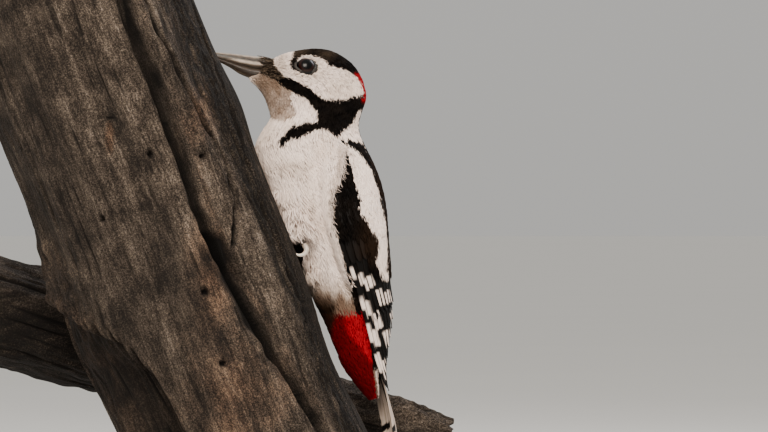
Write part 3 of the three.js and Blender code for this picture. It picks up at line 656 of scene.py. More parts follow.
@dataclass(frozen=True)
class ScaledSkin(Finish):
    """Bare leathery skin, of the feet and the lids: matte grey, with fine creases about 0.3 mm apart."""

    light: str = "#5f574e"
    dark: str = "#221d19"
    roughness: float = 0.55
    crease: float = 0.5

    def dress(self, tree: bpy.types.NodeTree) -> None:
        """Cell creases over a soft mottle."""
        cell = {"Vector": "place.Object", "Scale": 1 / (self.crease * MM)}
        add_node(tree, "place", "TexCoord")
        add_node(tree, "cells", "TexVoronoi", cell, feature="DISTANCE_TO_EDGE")
        add_node(tree, "mottle", "TexNoise", {"Vector": "place.Object", "Scale": 900.0, "Detail": 4.0})
        add_node(tree, "level", "Math", {0: "cells.0", 1: 1.2, 2: "mottle.0"}, operation="MULTIPLY_ADD")
        add_node(tree, "tone", "ValToRGB", {0: "level.0"}, [(0.35, self.dark), (0.95, self.light)])
        add_node(tree, "bump", "Bump", {"Height": "cells.0", "Strength": 0.5, "Distance": 0.0002})
        add_node(tree, "shader", "BsdfPrincipled",
            {"Base Color": "tone.0", "Roughness": self.roughness, "Normal": "bump.0"})


@dataclass(frozen=True)
class GlassEye(Finish):
    """Blown glass over a painted iris, as in a mount: a wet clear coat over very dark red-brown."""

    iris: str = "#1e0a06"
    pupil: str = "#010101"

    def dress(self, tree: bpy.types.NodeTree) -> None:
        """The attribute Iris rings the pupil; fine rays come from a noise."""
        add_node(tree, "place", "TexCoord")
        add_node(tree, "rays", "TexNoise", {"Vector": "place.Object", "Scale": 2400.0, "Detail": 2.0})
        add_node(tree, "ring", "Attribute", attribute_name="Iris")
        add_node(tree, "level", "Math", {0: "ring.Fac", 1: "rays.0"}, operation="MULTIPLY")
        add_node(tree, "tone", "ValToRGB", {0: "level.0"}, [(0.05, self.pupil), (0.6, self.iris)])
        add_node(tree, "shader", "BsdfPrincipled",
            {"Base Color": "tone.0", "Roughness": 0.3, "Specular IOR Level": 0.1, "Coat Weight": 0.3,
            "Coat Roughness": 0.05, "Coat IOR": 1.36})


@dataclass(frozen=True)
class WeatheredWood(Finish):
    """Bare dead wood, weathered outdoors: dull grey fibres, brown where it decays, with painted shade in its cracks.

    Fibres run along the trunk's axis: streaks 0.8 mm and 5 mm wide, about twelve times as long. Each mark
    is an attribute: Depth for the painted shade of cracks, pits and hollows, Rot for brown decay, Moss for a
    dark crust, Stain for old rain marks and for painted shade on the trunk's far left, and Sawn with Ring for
    cut ends.
    """

    lean: float = 0.0
    grain: tuple = ((0.58, "#0f0b09"), (0.84, "#a3968a"), (0.655, "#2a231d"), (0.71, "#4b4138"), (0.765, "#6d6156"))
    rotten: tuple = ((0.58, "#130b07"), (0.84, "#a1846a"), (0.665, "#35261d"), (0.735, "#604838"))
    crust: tuple = ((0.43, "#060504"), (0.65, "#8d8070"), (0.495, "#17120e"), (0.555, "#322a22"), (0.605, "#54483b"))
    stain: tuple = ((0.58, "#0c0907"), (0.84, "#574d42"), (0.67, "#1c1713"), (0.75, "#352d26"))
    dark: str = "#0a0705"
    sawn: tuple = ((0.0, "#4d3f32"), (1.0, "#85715b"))

    def dress(self, tree: bpy.types.NodeTree) -> None:
        """Long noises of two widths give the fibres; each mark blends its own colours over them."""
        add_node(tree, "place", "TexCoord")
        add_node(tree, "upright", "Mapping", {"Vector": "place.Object", "Rotation": (0.0, self.lean, 0.0)})
        add_node(tree, "drawn", "Mapping", {"Vector": "upright.0", "Scale": (1.0, 1.0, 0.14)})
        for name, where, scale, detail, roughness, distortion in (
                ("fine", "drawn.0", 1250.0, 8.0, 0.75, 0.0), ("broad", "drawn.0", 230.0, 6.0, 0.65, 0.4),
                ("blotch", "place.Object", 60.0, 6.0, 0.65, 0.0), ("grit", "place.Object", 1500.0, 6.0, 0.75, 0.0)):
            inputs = {"Vector": where, "Scale": scale, "Detail": detail, "Roughness": roughness}
            add_node(tree, name, "TexNoise", inputs | {"Distortion": distortion})
        for name in ("Rot", "Stain", "Moss", "Depth", "Sawn", "Ring"):
            add_node(tree, name, "Attribute", attribute_name=name)
        for name, value, share, to in (("fibre_grit", "grit.0", 0.58, 0.0),
                ("fibre_blotch", "blotch.0", 0.28, "fibre_grit.0"), ("fibre_broad", "broad.0", 0.26, "fibre_blotch.0"),
                ("fibre", "fine.0", 0.28, "fibre_broad.0"), ("rot_blotch", "blotch.0", 1.0, "Rot.Fac"),
                ("rot_grit", "grit.0", 1.1, "rot_blotch.0"), ("crust_broad", "broad.0", 0.3, 0.0),
                ("crust_grit", "grit.0", 0.7, "crust_broad.0"), ("height", "grit.0", 0.9, "fibre.0")):
            add_node(tree, name, "Math", {0: value, 1: share, 2: to}, operation="MULTIPLY_ADD")
        add_node(tree, "growth", "Math", {0: "Ring.Fac", 1: 2.1}, operation="MULTIPLY")
        add_node(tree, "band", "Math", {0: "growth.0"}, operation="SINE")
        add_node(tree, "rings", "MapRange", {"Value": "band.0", "From Min": -1.0})
        rotten = {"Value": "rot_grit.0", "From Min": 1.1, "From Max": 1.5, "To Max": 0.85}
        add_node(tree, "decayed", "MapRange", rotten)
        for name, value, stops in (("grain", "fibre.0", self.grain), ("rotten", "fibre.0", self.rotten),
                ("rain", "fibre.0", self.stain), ("crust", "crust_grit.0", self.crust), ("sawn", "rings.0", self.sawn)):
            add_node(tree, name, "ValToRGB", {0: value}, stops)
        # Depth paints cracks, pits and hollows dark as shade; Stain also paints shade on the trunk's far left.
        for name, share, under, over in (("wood_rotten", "decayed.0", "grain.0", "rotten.0"),
                ("wood_stained", "Stain.Fac", "wood_rotten.2", "rain.0"),
                ("wood_crusted", "Moss.Fac", "wood_stained.2", "crust.0"),
                ("wood_cracked", "Depth.Fac", "wood_crusted.2", self.dark),
                ("wood", "Sawn.Fac", "wood_cracked.2", "sawn.0")):
            add_node(tree, name, "Mix", {0: share, MIX_A: under, MIX_B: over}, data_type="RGBA")
        add_node(tree, "bump", "Bump", {"Height": "height.0", "Strength": 0.9, "Distance": 0.0011})
        add_node(tree, "shader", "BsdfPrincipled",
            {"Base Color": "wood.2", "Roughness": 0.88, "Specular IOR Level": 0.2, "Normal": "bump.0"})


@dataclass(frozen=True)
class OiledOak(Finish):
    """Dark fumed oak, planed and oiled: satin, with open pores 0.3 mm wide along X."""

    dark: str = "#1d1510"
    light: str = "#4a3524"

    def dress(self, tree: bpy.types.NodeTree) -> None:
        """A long noise for the figure and a finer one for the pores."""
        figure = {"Vector": "drawn.0", "Scale": 260.0, "Detail": 6.0, "Distortion": 1.2}
        add_node(tree, "place", "TexCoord")
        add_node(tree, "drawn", "Mapping", {"Vector": "place.Object", "Scale": (0.05, 1.0, 1.0)})
        add_node(tree, "figure", "TexNoise", figure)
        add_node(tree, "pores", "TexNoise", {"Vector": "drawn.0", "Scale": 2600.0, "Detail": 2.0})
        add_node(tree, "level", "Math", {0: "pores.0", 1: 0.35, 2: "figure.0"}, operation="MULTIPLY_ADD")
        add_node(tree, "tone", "ValToRGB", {0: "level.0"}, [(0.5, self.dark), (0.9, self.light)])
        add_node(tree, "bump", "Bump", {"Height": "pores.0", "Strength": 0.15, "Distance": 0.0002})
        add_node(tree, "shader", "BsdfPrincipled", {"Base Color": "tone.0", "Roughness": 0.38, "Normal": "bump.0"})


@dataclass(frozen=True)
class BrushedSteel(Finish):
    """Stainless steel rod, brushed round: satin metal with fine rings 0.2 mm apart."""

    def dress(self, tree: bpy.types.NodeTree) -> None:
        """A noise squeezed along the rod gives the brushing."""
        add_node(tree, "place", "TexCoord")
        add_node(tree, "squeezed", "Mapping", {"Vector": "place.Object", "Scale": (0.02, 0.02, 1.0)})
        add_node(tree, "rings", "TexNoise", {"Vector": "squeezed.0", "Scale": 5000.0, "Detail": 2.0})
        add_node(tree, "rough", "MapRange", {"Value": "rings.0", "To Min": 0.2, "To Max": 0.42})
        add_node(tree, "bump", "Bump", {"Height": "rings.0", "Strength": 0.1, "Distance": 0.0001})
        add_node(tree, "shader", "BsdfPrincipled",
            {"Base Color": "#c4c2bf", "Metallic": 1.0, "Roughness": "rough.0", "Normal": "bump.0"})


@dataclass(frozen=True)
class PaintedFloor(Finish):
    """A studio floor in matte pale paint."""

    colour: str = "#ebe9e5"

    def dress(self, tree: bpy.types.NodeTree) -> None:
        """One matte colour, barely mottled."""
        add_node(tree, "place", "TexCoord")
        add_node(tree, "mottle", "TexNoise", {"Vector": "place.Object", "Scale": 3.0})
        add_node(tree, "level", "MapRange", {"Value": "mottle.0", "To Min": 0.98, "To Max": 1.02})
        add_node(tree, "tone", "VectorMath", {0: linear(self.colour)[:3], 1: "level.0"}, operation="MULTIPLY")
        add_node(tree, "shader", "BsdfPrincipled",
            {"Base Color": "tone.0", "Roughness": 0.9, "Specular IOR Level": 0.1})


# --- markings ---


@dataclass(frozen=True)
class Markings:
    """Where each colour lies on the bird's left side, as outlines in X and Z. The right side mirrors it."""

    form: BirdForm
    # Black on crown and nape, and the black bar down the neck's side.
    crown: tuple = ((-3.2, 176.0), (14.1, 178.0), (34.7, 166.0), (34.7, 159.0), (24.9, 160.1), (21.8, 162.1),
        (18.2, 163.7), (14.1, 164.7), (12.8, 165.1), (11.5, 166.9), (9.4, 168.2), (6.8, 168.9), (3.7, 169.6),
        (1.2, 169.2), (-0.7, 168.0), (-1.2, 166.0), (-0.7, 163.7), (-0.1, 161.9), (-1.9, 162.2), (-3.7, 163.2),
        (-4.4, 165.0), (-4.0, 167.0), (-3.0, 168.8), (-2.9, 171.3))
    neck_side: tuple = ((-11.8, 161.6), (-8.7, 159.6), (-3.5, 158.1), (0.1, 156.0), (3.2, 155.0), (5.8, 152.9),
        (8.1, 150.6), (11.0, 149.0), (15.6, 148.5), (21.3, 149.0), (24.4, 150.3), (27.0, 150.6), (30.6, 152.8),
        (31.6, 145.6), (26.0, 145.6), (24.4, 141.5), (23.1, 138.9), (20.8, 136.5), (18.7, 135.3), (17.2, 132.4),
        (14.1, 134.7), (12.0, 136.0), (9.9, 136.5), (6.8, 136.0), (3.7, 134.7), (-0.4, 131.9), (-3.0, 132.2),
        (-5.3, 131.4), (-7.1, 128.5), (-8.7, 128.8), (-8.9, 130.6), (-7.6, 132.2), (-5.6, 133.2), (-5.0, 134.7),
        (-3.5, 136.5), (0.1, 137.3), (2.7, 138.6), (5.3, 138.2), (8.9, 138.8), (7.9, 144.0), (6.3, 146.6), (4.8, 148.7),
        (2.2, 150.8), (-0.9, 151.8), (-3.0, 153.3), (-6.6, 155.4), (-9.7, 157.5), (-11.5, 159.3))
    # The red of the nape, the painted shade under the chin, and the white of the shoulder.
    nape: tuple = ((24.0, 161.5), (27.5, 157.0), (28.7, 152.0), (27.6, 148.6), (34.0, 147.0), (34.0, 162.0))
    chin_shade: tuple = ((-26.0, 164.0), (-13.8, 162.5), (-9.7, 159.0), (-3.0, 153.3), (-4.5, 149.7), (-1.4, 142.5),
        (-6.6, 139.4), (-12.3, 140.4), (-14.9, 145.6), (-15.9, 150.8), (-19.5, 156.4))
    scapulars: tuple = ((19.0, 129.3), (20.6, 125.9), (22.7, 121.3), (23.7, 117.2), (24.7, 112.5), (26.0, 108.4),
        (27.3, 104.2), (26.8, 101.1), (27.8, 97.3), (29.4, 97.0), (30.4, 93.9), (33.0, 89.5), (34.8, 88.2),
        (35.6, 84.6), (34.8, 79.4), (34.0, 76.3), (35.6, 71.7), (37.6, 68.1), (40.5, 63.4), (43.0, 63.4), (44.5, 78.4),
        (43.0, 93.9), (37.4, 96.5), (36.6, 102.2), (35.3, 108.4), (34.0, 112.5), (32.0, 117.7), (29.4, 121.8),
        (26.8, 125.4), (22.7, 128.0))
    # The dark bristles round the bill's root and the dark line from the gape.
    lores: tuple = ((-20.0, 168.4), (-14.4, 168.6), (-12.4, 167.2), (-11.0, 164.6), (-9.4, 162.6), (-7.7, 161.2),
        (-7.0, 159.0), (-11.5, 158.0), (-14.8, 159.6), (-20.0, 163.0))
    # The edge between white flank and black wing: X for a height.
    flank: tuple = ((49.0, 27.6), (57.6, 24.3), (71.1, 21.2), (81.0, 18.4), (93.6, 14.9), (102.0, 13.8), (106.0, 15.4),
        (110.4, 18.0), (117.0, 22.0), (126.0, 23.5))
    # Painted shade: the feathers under the foot and beside the bark, painted black.
    under_foot_shade: tuple = ((-3.6, 85.5), (0.9, 85.0), (3.8, 83.7), (3.2, 81.4), (1.4, 79.6), (1.6, 75.2), (2.0, 68.4),
        (4.0, 63.0), (6.3, 58.0), (1.4, 58.0), (-5.4, 78.3))
    # The line where the white shoulder gives way to the dark back: X for a height.
    back_line: tuple = ((56.0, 41.5), (64.4, 40.3), (72.7, 39.3), (84.5, 39.1), (95.4, 38.5), (103.7, 37.1),
        (109.6, 35.4), (117.2, 33.3), (124.0, 30.8), (132.0, 60.0))
    # The undertail: the edge in front of which, towards the trunk, it is painted dark as shade, and the edge of its
    # brighter red, partly the feathers' own and partly painted light; each as X for a height.
    vent_shade_edge: tuple = ((10.0, 30.0), (15.3, 27.9), (27.0, 20.3), (39.2, 13.9), (46.0, 14.6), (52.7, 16.2),
        (57.0, 17.0))
    vent_bright_and_lit: tuple = ((28.0, 34.0), (32.6, 31.5), (37.5, 27.6), (41.5, 24.2), (45.5, 21.2), (50.0, 20.6))
    nape_half_angle: float = 40.0
    hind_neck_half_angle: float = 17.0
    mantle_half_angle: float = 24.0
    belly_end: float = 53.0  # height at which the red of the undertail begins
    # White blocks on the flight feathers: X, Z, half width, half height.
    blocks: tuple = ((23.4, 71.2, 1.7, 2.8), (27.7, 68.9, 1.2, 2.8), (31.3, 67.3, 2.1, 2.9), (36.2, 60.3, 1.7, 4.0),
        (39.6, 60.5, 1.6, 3.0), (27.7, 57.6, 1.7, 2.8), (30.9, 55.6, 1.3, 3.4), (34.9, 50.2, 1.7, 4.2),
        (39.6, 41.9, 1.7, 4.0), (31.2, 44.4, 1.5, 4.6), (34.2, 42.4, 1.3, 4.2), (35.6, 31.4, 1.4, 4.6),
        (38.3, 28.0, 1.3, 4.8), (42.0, 50.6, 0.9, 3.6))

    def left_view(self, points: Array) -> tuple[Array, Array]:
        """X and Z of points, with those of the right side mirrored to the left first."""
        side = self.form.trunk.side(points)[..., None]
        left = np.where(side < 0, self.form.trunk.mirror(points), points)
        return left[..., 0], left[..., 2]

    def body(self, points: Array, station: Array, angle: Array, rng: Rng) -> Array:
        """The colour of body feathers at points.

        Args:
            points: places on the coat.
            station: their stations.
            angle: their angles, of either sign.
            rng: the draws that vary single feathers.
        """
        x, z = self.left_view(points)
        a = np.abs(half_turn(angle))
        shade = noise(x / 5.0 + 40, z / 7.0, 3)[..., None]
        cloud = step(noise(x / 7.0 + 11, z / 9.0, 6), 0.45, 0.85)[..., None]
        colour = mix(mix(Tint.WHITE.rgb, Tint.CREAM.rgb, 0.8 * shade), Tint.BUFF.rgb, 0.22 * cloud)
        # Painted shade under the chin: buff-grey and brown over the white, strongest high up.
        grey = inside(x, z, self.chin_shade) * mix(0.55, 1.0, noise(x / 2.4, z / 4.0, 5))
        grey = grey * mix(0.85, 1.0, step(z - 0.4 * x, 152.0, 163.0))
        colour = blend(colour, Tint.BUFF.rgb, grey)
        colour = blend(colour, Tint.BROWN.rgb, grey * (0.5 + 0.35 * (rng.random(z.shape) > 0.4)))
        forehead = step(-x, 5.0, 8.5) * (1 - step(-x, 9.0, 12.0)) * step(z, 162.0, 164.0)
        colour = blend(colour, Tint.BUFF.rgb, 0.45 * forehead)
        from_eye = np.hypot((x - 2.9) / 5.2, (z - 164.7) / 4.3)
        folds = np.cos((from_eye - 1.12) * 44.0) * step(162.6 - z, 0.0, 1.0) * step(1.6 - from_eye, 0, 0.3)
        colour = blend(colour, Tint.BUFF.rgb, 0.8 * np.clip(folds, 0, 1))
        tip = 58.5 - 0.16 * (x - 20.0) + 3.5 * (noise(x / 1.1 + 70, 0 * x, 9) - 0.5)
        lower = step(tip + 15.0 - z, 0.0, 15.0) * step(a, 60.0, 90.0)
        colour = blend(colour, Tint.BUFF.rgb, 0.75 * lower)
        # Brown along the belly's lower edge: painted shade where the belly turns down, over the feathers' own buff.
        colour = blend(colour, Tint.BROWN.rgb, 0.9 * step(tip + 5.0 - z, 0.0, 6.0) * (a > 60.0))
        # Painted shade: the belly's lower front and the undertail's front, towards the trunk, painted dark earth brown.
        edge = read(self.vent_shade_edge, z)
        colour = blend(colour, Tint.EARTH.rgb, step(edge - x, -1.0, 2.2) * step(64.0 - z, 0.0, 9.0))
        # Brighter red past this edge: partly the feathers' own brighter red, partly painted light where the light
        # falls.
        bright_and_lit = step(x - read(self.vent_bright_and_lit, z), -1.4, 1.6)
        red = blend(Tint.DEEP_RED.rgb, Tint.RED.rgb, bright_and_lit * mix(0.75, 1.0, shade[..., 0]))
        red = blend(red, Tint.EARTH.rgb, 0.93 * step(edge - x, -1.2, 1.4))
        vent = z < self.belly_end + rng.normal(0.0, 0.7, z.shape)
        colour = np.where((vent & (a > 72.0 - 10.0 * (z > 28.0)))[..., None], red, colour)
        black = blend(Tint.BLACK.rgb, Tint.SOOT.rgb, 0.5 * noise(x / 2.5, z / 2.5, 13))
        # Painted sheen: the black of the crown's top, and the black below a height of 128 mm, browned as a sheen.
        sheen = step(z, 165.0, 171.0) * (1 - step(x, 16.0, 24.0))
        sheen = np.maximum(sheen, 0.8 * step(128.0 - z, 0.0, 8.0))
        brown = blend(Tint.EARTH.rgb, Tint.BROWN.rgb * [0.8, 1.0, 1.1], 0.4 * step(z, 160.0, 165.0))
        black = blend(black, brown, 0.85 * sheen * noise(x / 6.0, z / 2.0, 14))
        hind = (a < self.hind_neck_half_angle) & (station > 10.4) & (z > 112.0)
        mantle = (station > 14.2) & (a < self.mantle_half_angle)
        rump = (station > 18.0) & (a < 70.0) & ((z > 28.0) | (a < 40.0))
        wide = [inside(x + dx, z + dz, self.neck_side) for dx, dz in ((-0.6, 0), (0.6, 0), (0, -0.6), (0, 0.6))]
        wing_side = (station > 15.0) & (self.past_flank(points) > 0.0) & (z < 110.0) & (a > 50.0)
        dark = np.any(wide, axis=0) | inside(x, z, self.crown) | hind | mantle | rump
        # The feathers under the foot are painted black as shade.
        dark = dark | (wing_side & ~vent) | inside(x, z, self.under_foot_shade)
        colour = np.where(dark[..., None], black, colour)
        bristles = inside(x, z, self.lores)
        streaks = rng.random((len(z),) + (1,) * (z.ndim - 1) + (1,)) ** 2
        colour = np.where(bristles[..., None], mix(Tint.BLACK.rgb, Tint.BROWN.rgb * [0.8, 1.0, 1.1], streaks), colour)
        nape = inside(x, z, self.nape) & (a < self.nape_half_angle)
        return np.where(nape[..., None], mix(Tint.DEEP_RED.rgb, Tint.RED.rgb, mix(0.3, 0.8, shade)), colour)

    def wing(self, points: Array, *_: Any) -> Array:
        """The colour of small wing feathers: black, with the white patch of the scapulars."""
        x, z = self.left_view(points)
        shade = noise(x / 4.0, z / 6.0, 17)[..., None]
        # Painted sheen: the black of the coverts' lobe is browned as a sheen.
        brown = step(x, 22.0, 33.0) * step(103.0 - z, 0.0, 16.0) * step(z, 70.0, 82.0)
        black = mix(Tint.BLACK.rgb, Tint.SOOT.rgb, 0.5 * shade)
        black = blend(black, Tint.EARTH.rgb, 0.8 * brown)
        white = mix(Tint.WHITE.rgb, Tint.CREAM.rgb, 0.4 * shade)
        black = blend(black, Tint.EARTH.rgb, 0.7 * self.back_edge(x, z))
        white_here = inside(x, z, self.scapulars) & (self.back_edge(x, z) < 0.5)
        return np.where(white_here[..., None], white, black)

    def back_edge(self, x: Array, z: Array) -> Array:
        """1 past the line where the white shoulder gives way to the dark back."""
        return step(x - read(self.back_line, z), -0.2, 0.2)

    def past_flank(self, points: Array) -> Array:
        """How far points lie past the line at which the white flank ends and the black wing begins."""
        x, z = self.left_view(points)
        return x - read(self.flank, z)

    def breast_side(self, points: Array, *_: Any) -> Array:
        """The colour of the flank's feathers: white, greyer towards the wing."""
        x, z = self.left_view(points)
        shade = noise(x / 5.0 + 40, z / 7.0, 3)[..., None]
        white = mix(Tint.WHITE.rgb, Tint.CREAM.rgb, 0.8 * shade)
        past = self.past_flank(points)[..., None]
        white = mix(white, Tint.BUFF.rgb, 0.5 * step(past, -5.0, 0.0) * shade)
        return mix(white, Tint.BLACK.rgb, step(past, -0.2, 0.5))

    def bar_share(self, points: Array) -> Array:
        """How white a flight feather is at points: 1 inside a block, whose sides slant with the feathers."""
        x, z = self.left_view(points)
        white = np.zeros(x.shape)
        for at_x, at_z, half_x, half_z in self.blocks:
            across = np.abs(x - at_x + 0.3 * (z - at_z))
            along = np.abs(z - at_z - 0.5 * (x - at_x))
            inner = step(half_x + 0.25 - across, 0.0, 0.5) * step(half_z + 0.3 - along, 0.0, 0.6)
            white = np.maximum(white, inner)
        return white


# --- locks ---


LOCK_PLACES = np.array([0.0, 0.33, 0.68, 0.92, 1.0])  # four rings and the tip, as shares of the length
LOCK_WIDTHS = np.array([0.5, 1.0, 0.8, 0.36])
LOCK_ROOT_SHADE = np.array([0.86, 0.94, 1.0, 1.02, 1.03])  # painted shade: a lock darkens towards its downy root, where the feathers over it shade it
LOCK_CLIMB = 0.6  # the share of its length over which a lock rises
LOCK_ROLL = 14.0  # degrees by which locks turn about their own length
SHAKE = 0.22  # how far roots stray from even places, in spacings
EVEN_STEPS = (0.7548776662, 0.5698402910)  # one over the plastic number, and that squared: an even sequence
BAKE_PATCH = 0.003  # a lock's own square on the unwrap


@dataclass
class Locks:
    """Locks rooted on a surface, one line for each. Millimetres, and degrees from the first direction."""

    p: Array
    q: Array
    heading: Array
    length: Array
    width: Array
    sunk: Array
    tip: Array
    curl: Array


def metrics(surface: Surface, p: Array, q: Array) -> tuple[Array, Array]:
    """Millimetres for one unit of each of a surface's two directions, never near nought."""
    none = np.zeros_like(p)
    near, least = 0.03, 0.3
    first = np.linalg.norm(surface(p + near, q, none) - surface(p - near, q, none), axis=-1) / (2 * near)
    second = np.linalg.norm(surface(p, q + near, none) - surface(p, q - near, none), axis=-1) / (2 * near)
    return np.maximum(first, least * np.median(first)), np.maximum(second, least * np.median(second))


def scatter(surface: Surface, first: tuple[float, float], second: tuple[float, float], spacing: float,
        rng: Rng) -> tuple[Array, Array]:
    """Places spread evenly over part of a surface, one to each square of the spacing.

    An even two-number sequence is bent by the running sums of the surface's cell areas, then shaken.

    Args:
        surface: the surface.
        first: range of its first number.
        second: range of its second number.
        spacing: mean distance in millimetres.
        rng: the draws for the shake.
    """
    rows, columns, cuts = 96, 160, 257
    p_edges, q_edges = np.linspace(*first, rows + 1), np.linspace(*second, columns + 1)
    grid = surface(*np.meshgrid(p_edges, q_edges, indexing="ij"), np.zeros((rows + 1, columns + 1)))
    down, along = np.diff(grid, axis=0)[:, :-1], np.diff(grid, axis=1)[:-1]
    areas = np.linalg.norm(np.cross(down, along), axis=-1) + 1e-9
    count = max(8, int(areas.sum() / spacing**2))
    index = np.arange(count) + 0.5
    u, v = (np.mod(index * even, 1.0) for even in EVEN_STEPS)
    row_sums = np.concatenate([[0.0], np.cumsum(areas.sum(axis=1))])
    place = np.interp(u, row_sums / row_sums[-1], np.arange(rows + 1.0))
    running = np.concatenate([np.zeros((rows, 1)), np.cumsum(areas, axis=1)], axis=1)
    quantiles = np.stack([np.interp(np.linspace(0, 1, cuts), r / r[-1], q_edges) for r in running])
    row = np.minimum(place.astype(int), rows - 1)
    cut = v * (cuts - 1)
    low = np.minimum(cut.astype(int), cuts - 2)
    q = mix(quantiles[row, low], quantiles[row, low + 1], cut - low)
    p = np.interp(place, np.arange(rows + 1.0), p_edges)
    per_p, per_q = metrics(surface, p, q)
    p = p + rng.normal(0, SHAKE, count) * spacing / per_p
    q = q + rng.normal(0, SHAKE, count) * spacing / per_q
    return p, q


def feathers(surface: Surface, p: Array, q: Array, heading: Array, length: Array, width: Array, rng: Rng,
        locks: int = 5, spread: float = 30.0, sunk: Array | float = 1.0, tip: Array | float = 0.2,
        jitter: float = 7.0) -> Locks:
    """Small feathers, each a fan of locks that leave one root and end on a rounded tip.

    Args:
        surface: the surface that they lie on.
        p: the roots' first number.
        q: the roots' second number.
        heading: where each feather points, in degrees from the surface's first direction.
        length: the feathers' lengths.
        width: the feathers' widths.
        rng: the draws that make them differ.
        locks: locks in each.
        spread: degrees between a fan's outer locks.
        sunk: depth of the root under the coat's face.
        tip: height of the tip over it.
        jitter: degrees by which feathers stray.
    """
    count = len(p)
    side = np.linspace(-1, 1, locks)[None] + rng.normal(0, 0.12, (count, locks))
    own = (np.broadcast_to(heading, (count,)) + rng.normal(0, jitter, count))[:, None]
    turned = own + side * spread / 2 + rng.normal(0, 3.5, (count, locks))
    per_p, per_q = metrics(surface, p, q)
    size = np.broadcast_to(length, (count,))[:, None] * rng.uniform(0.86, 1.1, (count, 1))
    breadth = np.broadcast_to(width, (count,))[:, None]
    shift = side * breadth * 0.26
    a = np.radians(own)
    rise = np.broadcast_to(tip, (count,))[:, None] * rng.uniform(0.5, 1.5, (count, 1))
    return Locks((p[:, None] - np.sin(a) * shift / per_p[:, None]).ravel(),
        (q[:, None] + np.cos(a) * shift / per_q[:, None]).ravel(), turned.ravel(),
        (size * (1 - 0.14 * side**2) * rng.uniform(0.84, 1.1, (count, locks))).ravel(),
        (breadth / locks * 1.75 * rng.uniform(0.75, 1.2, (count, locks))).ravel(),
        np.repeat(np.broadcast_to(sunk, (count,)), locks),
        (rise - 0.1 * np.abs(side) + rng.normal(0, 0.05, (count, locks))).ravel(),
        (-side * spread * 0.35 + rng.normal(0, 6, (count, locks))).ravel())


def grow(surface: Surface, roots: Locks, paint: Callable, unwrap: Callable, rng: Rng,
        fit: Callable[[Array], Array] = lambda points: points, thick: float = 0.34) -> Shape:
    """Locks as closed blades of three sides that rise from the skin and follow the surface.

    Each lock's middle line steps along the surface from its root in its heading, and climbs to the tip's
    height over the first six tenths. Its section is a low triangle with its ridge outwards.

    Args:
        surface: the surface, where lift 0 is the coat's face.
        roots: the locks.
        paint: gives colours from points and their two numbers.
        unwrap: gives a place on the skin's unwrap from the two numbers.
        rng: the draws that tint and roll them.
        fit: moves middle lines out of what they would cut.
        thick: a lock's thickness as a share of its width.
    """
    count = len(roots.p)
    t = LOCK_PLACES[None]
    per_p, per_q = metrics(surface, roots.p, roots.q)
    heading = np.radians(roots.heading[:, None] + roots.curl[:, None] * t)
    gone = roots.length[:, None] * t
    p = roots.p[:, None] + gone * np.cos(heading) / per_p[:, None]
    q = roots.q[:, None] + gone * np.sin(heading) / per_q[:, None]
    lift = -roots.sunk[:, None] + (roots.sunk + roots.tip)[:, None] * smooth(t / LOCK_CLIMB)
    centres = fit(surface(p, q, lift))
    forward = unit(np.gradient(centres, axis=1) + 1e-9)
    normal = normal_of(surface, roots.p, roots.q, np.zeros(count))[:, None]
    across = unit(np.cross(forward, normal))
    upward = np.cross(across, forward)
    roll = np.radians(rng.normal(0, LOCK_ROLL, (count, 1, 1)))
    across, upward = across * np.cos(roll) + upward * np.sin(roll), upward * np.cos(roll) - across * np.sin(roll)
    half = (roots.width[:, None] * LOCK_WIDTHS / 2)[..., None]
    body = centres[:, :4]
    rings = np.stack([body - across[:, :4] * half, body + across[:, :4] * half,
        body + upward[:, :4] * half * 2 * thick], axis=2)
    points, quads, triangles = closed_skins(rings, centres[:, 0] - forward[:, 0] * 0.05, centres[:, 4])
    stray = rng.normal(0.0, 0.3, (count, 1, 3))
    # Painted shade: each lock's colour darkens towards its root.
    shaded = paint(centres + stray, p, q, rng) * rng.uniform(0.88, 1.08, (count, 1, 1)) * LOCK_ROOT_SHADE[None, :, None]
    ringed = np.repeat(shaded[:, :4, None], 3, axis=2).reshape(count, 12, 3)
    all_colours = np.concatenate([ringed, shaded[:, :1], shaded[:, 4:]], axis=1).reshape(-1, 3)
    base = np.stack(unwrap(roots.p, roots.q), axis=-1)
    corner = np.array([[0.0, 0.0], [1.0, 0.0], [0.5, 0.0]])
    local = np.stack([corner + [0.0, place] for place in LOCK_PLACES[:4]]).reshape(12, 2)
    local = np.concatenate([local, [[0.5, 0.0], [0.5, 1.0]]]) * BAKE_PATCH
    patches = (base[:, None] * (1 - BAKE_PATCH) + local[None]).reshape(-1, 2)
    return Shape(points, quads, triangles, np.clip(all_colours, 0, 1), patches)


# --- vanes ---


VANE_ROWS = 60
WEB = np.array([-1.0, -0.75, -0.45, -0.16, -0.06, 0.06, 0.16, 0.5, 0.8, 1.0])  # across a vane, shaft at 0
OUTER_WEB = 0.4  # the narrow web's share of a vane's width


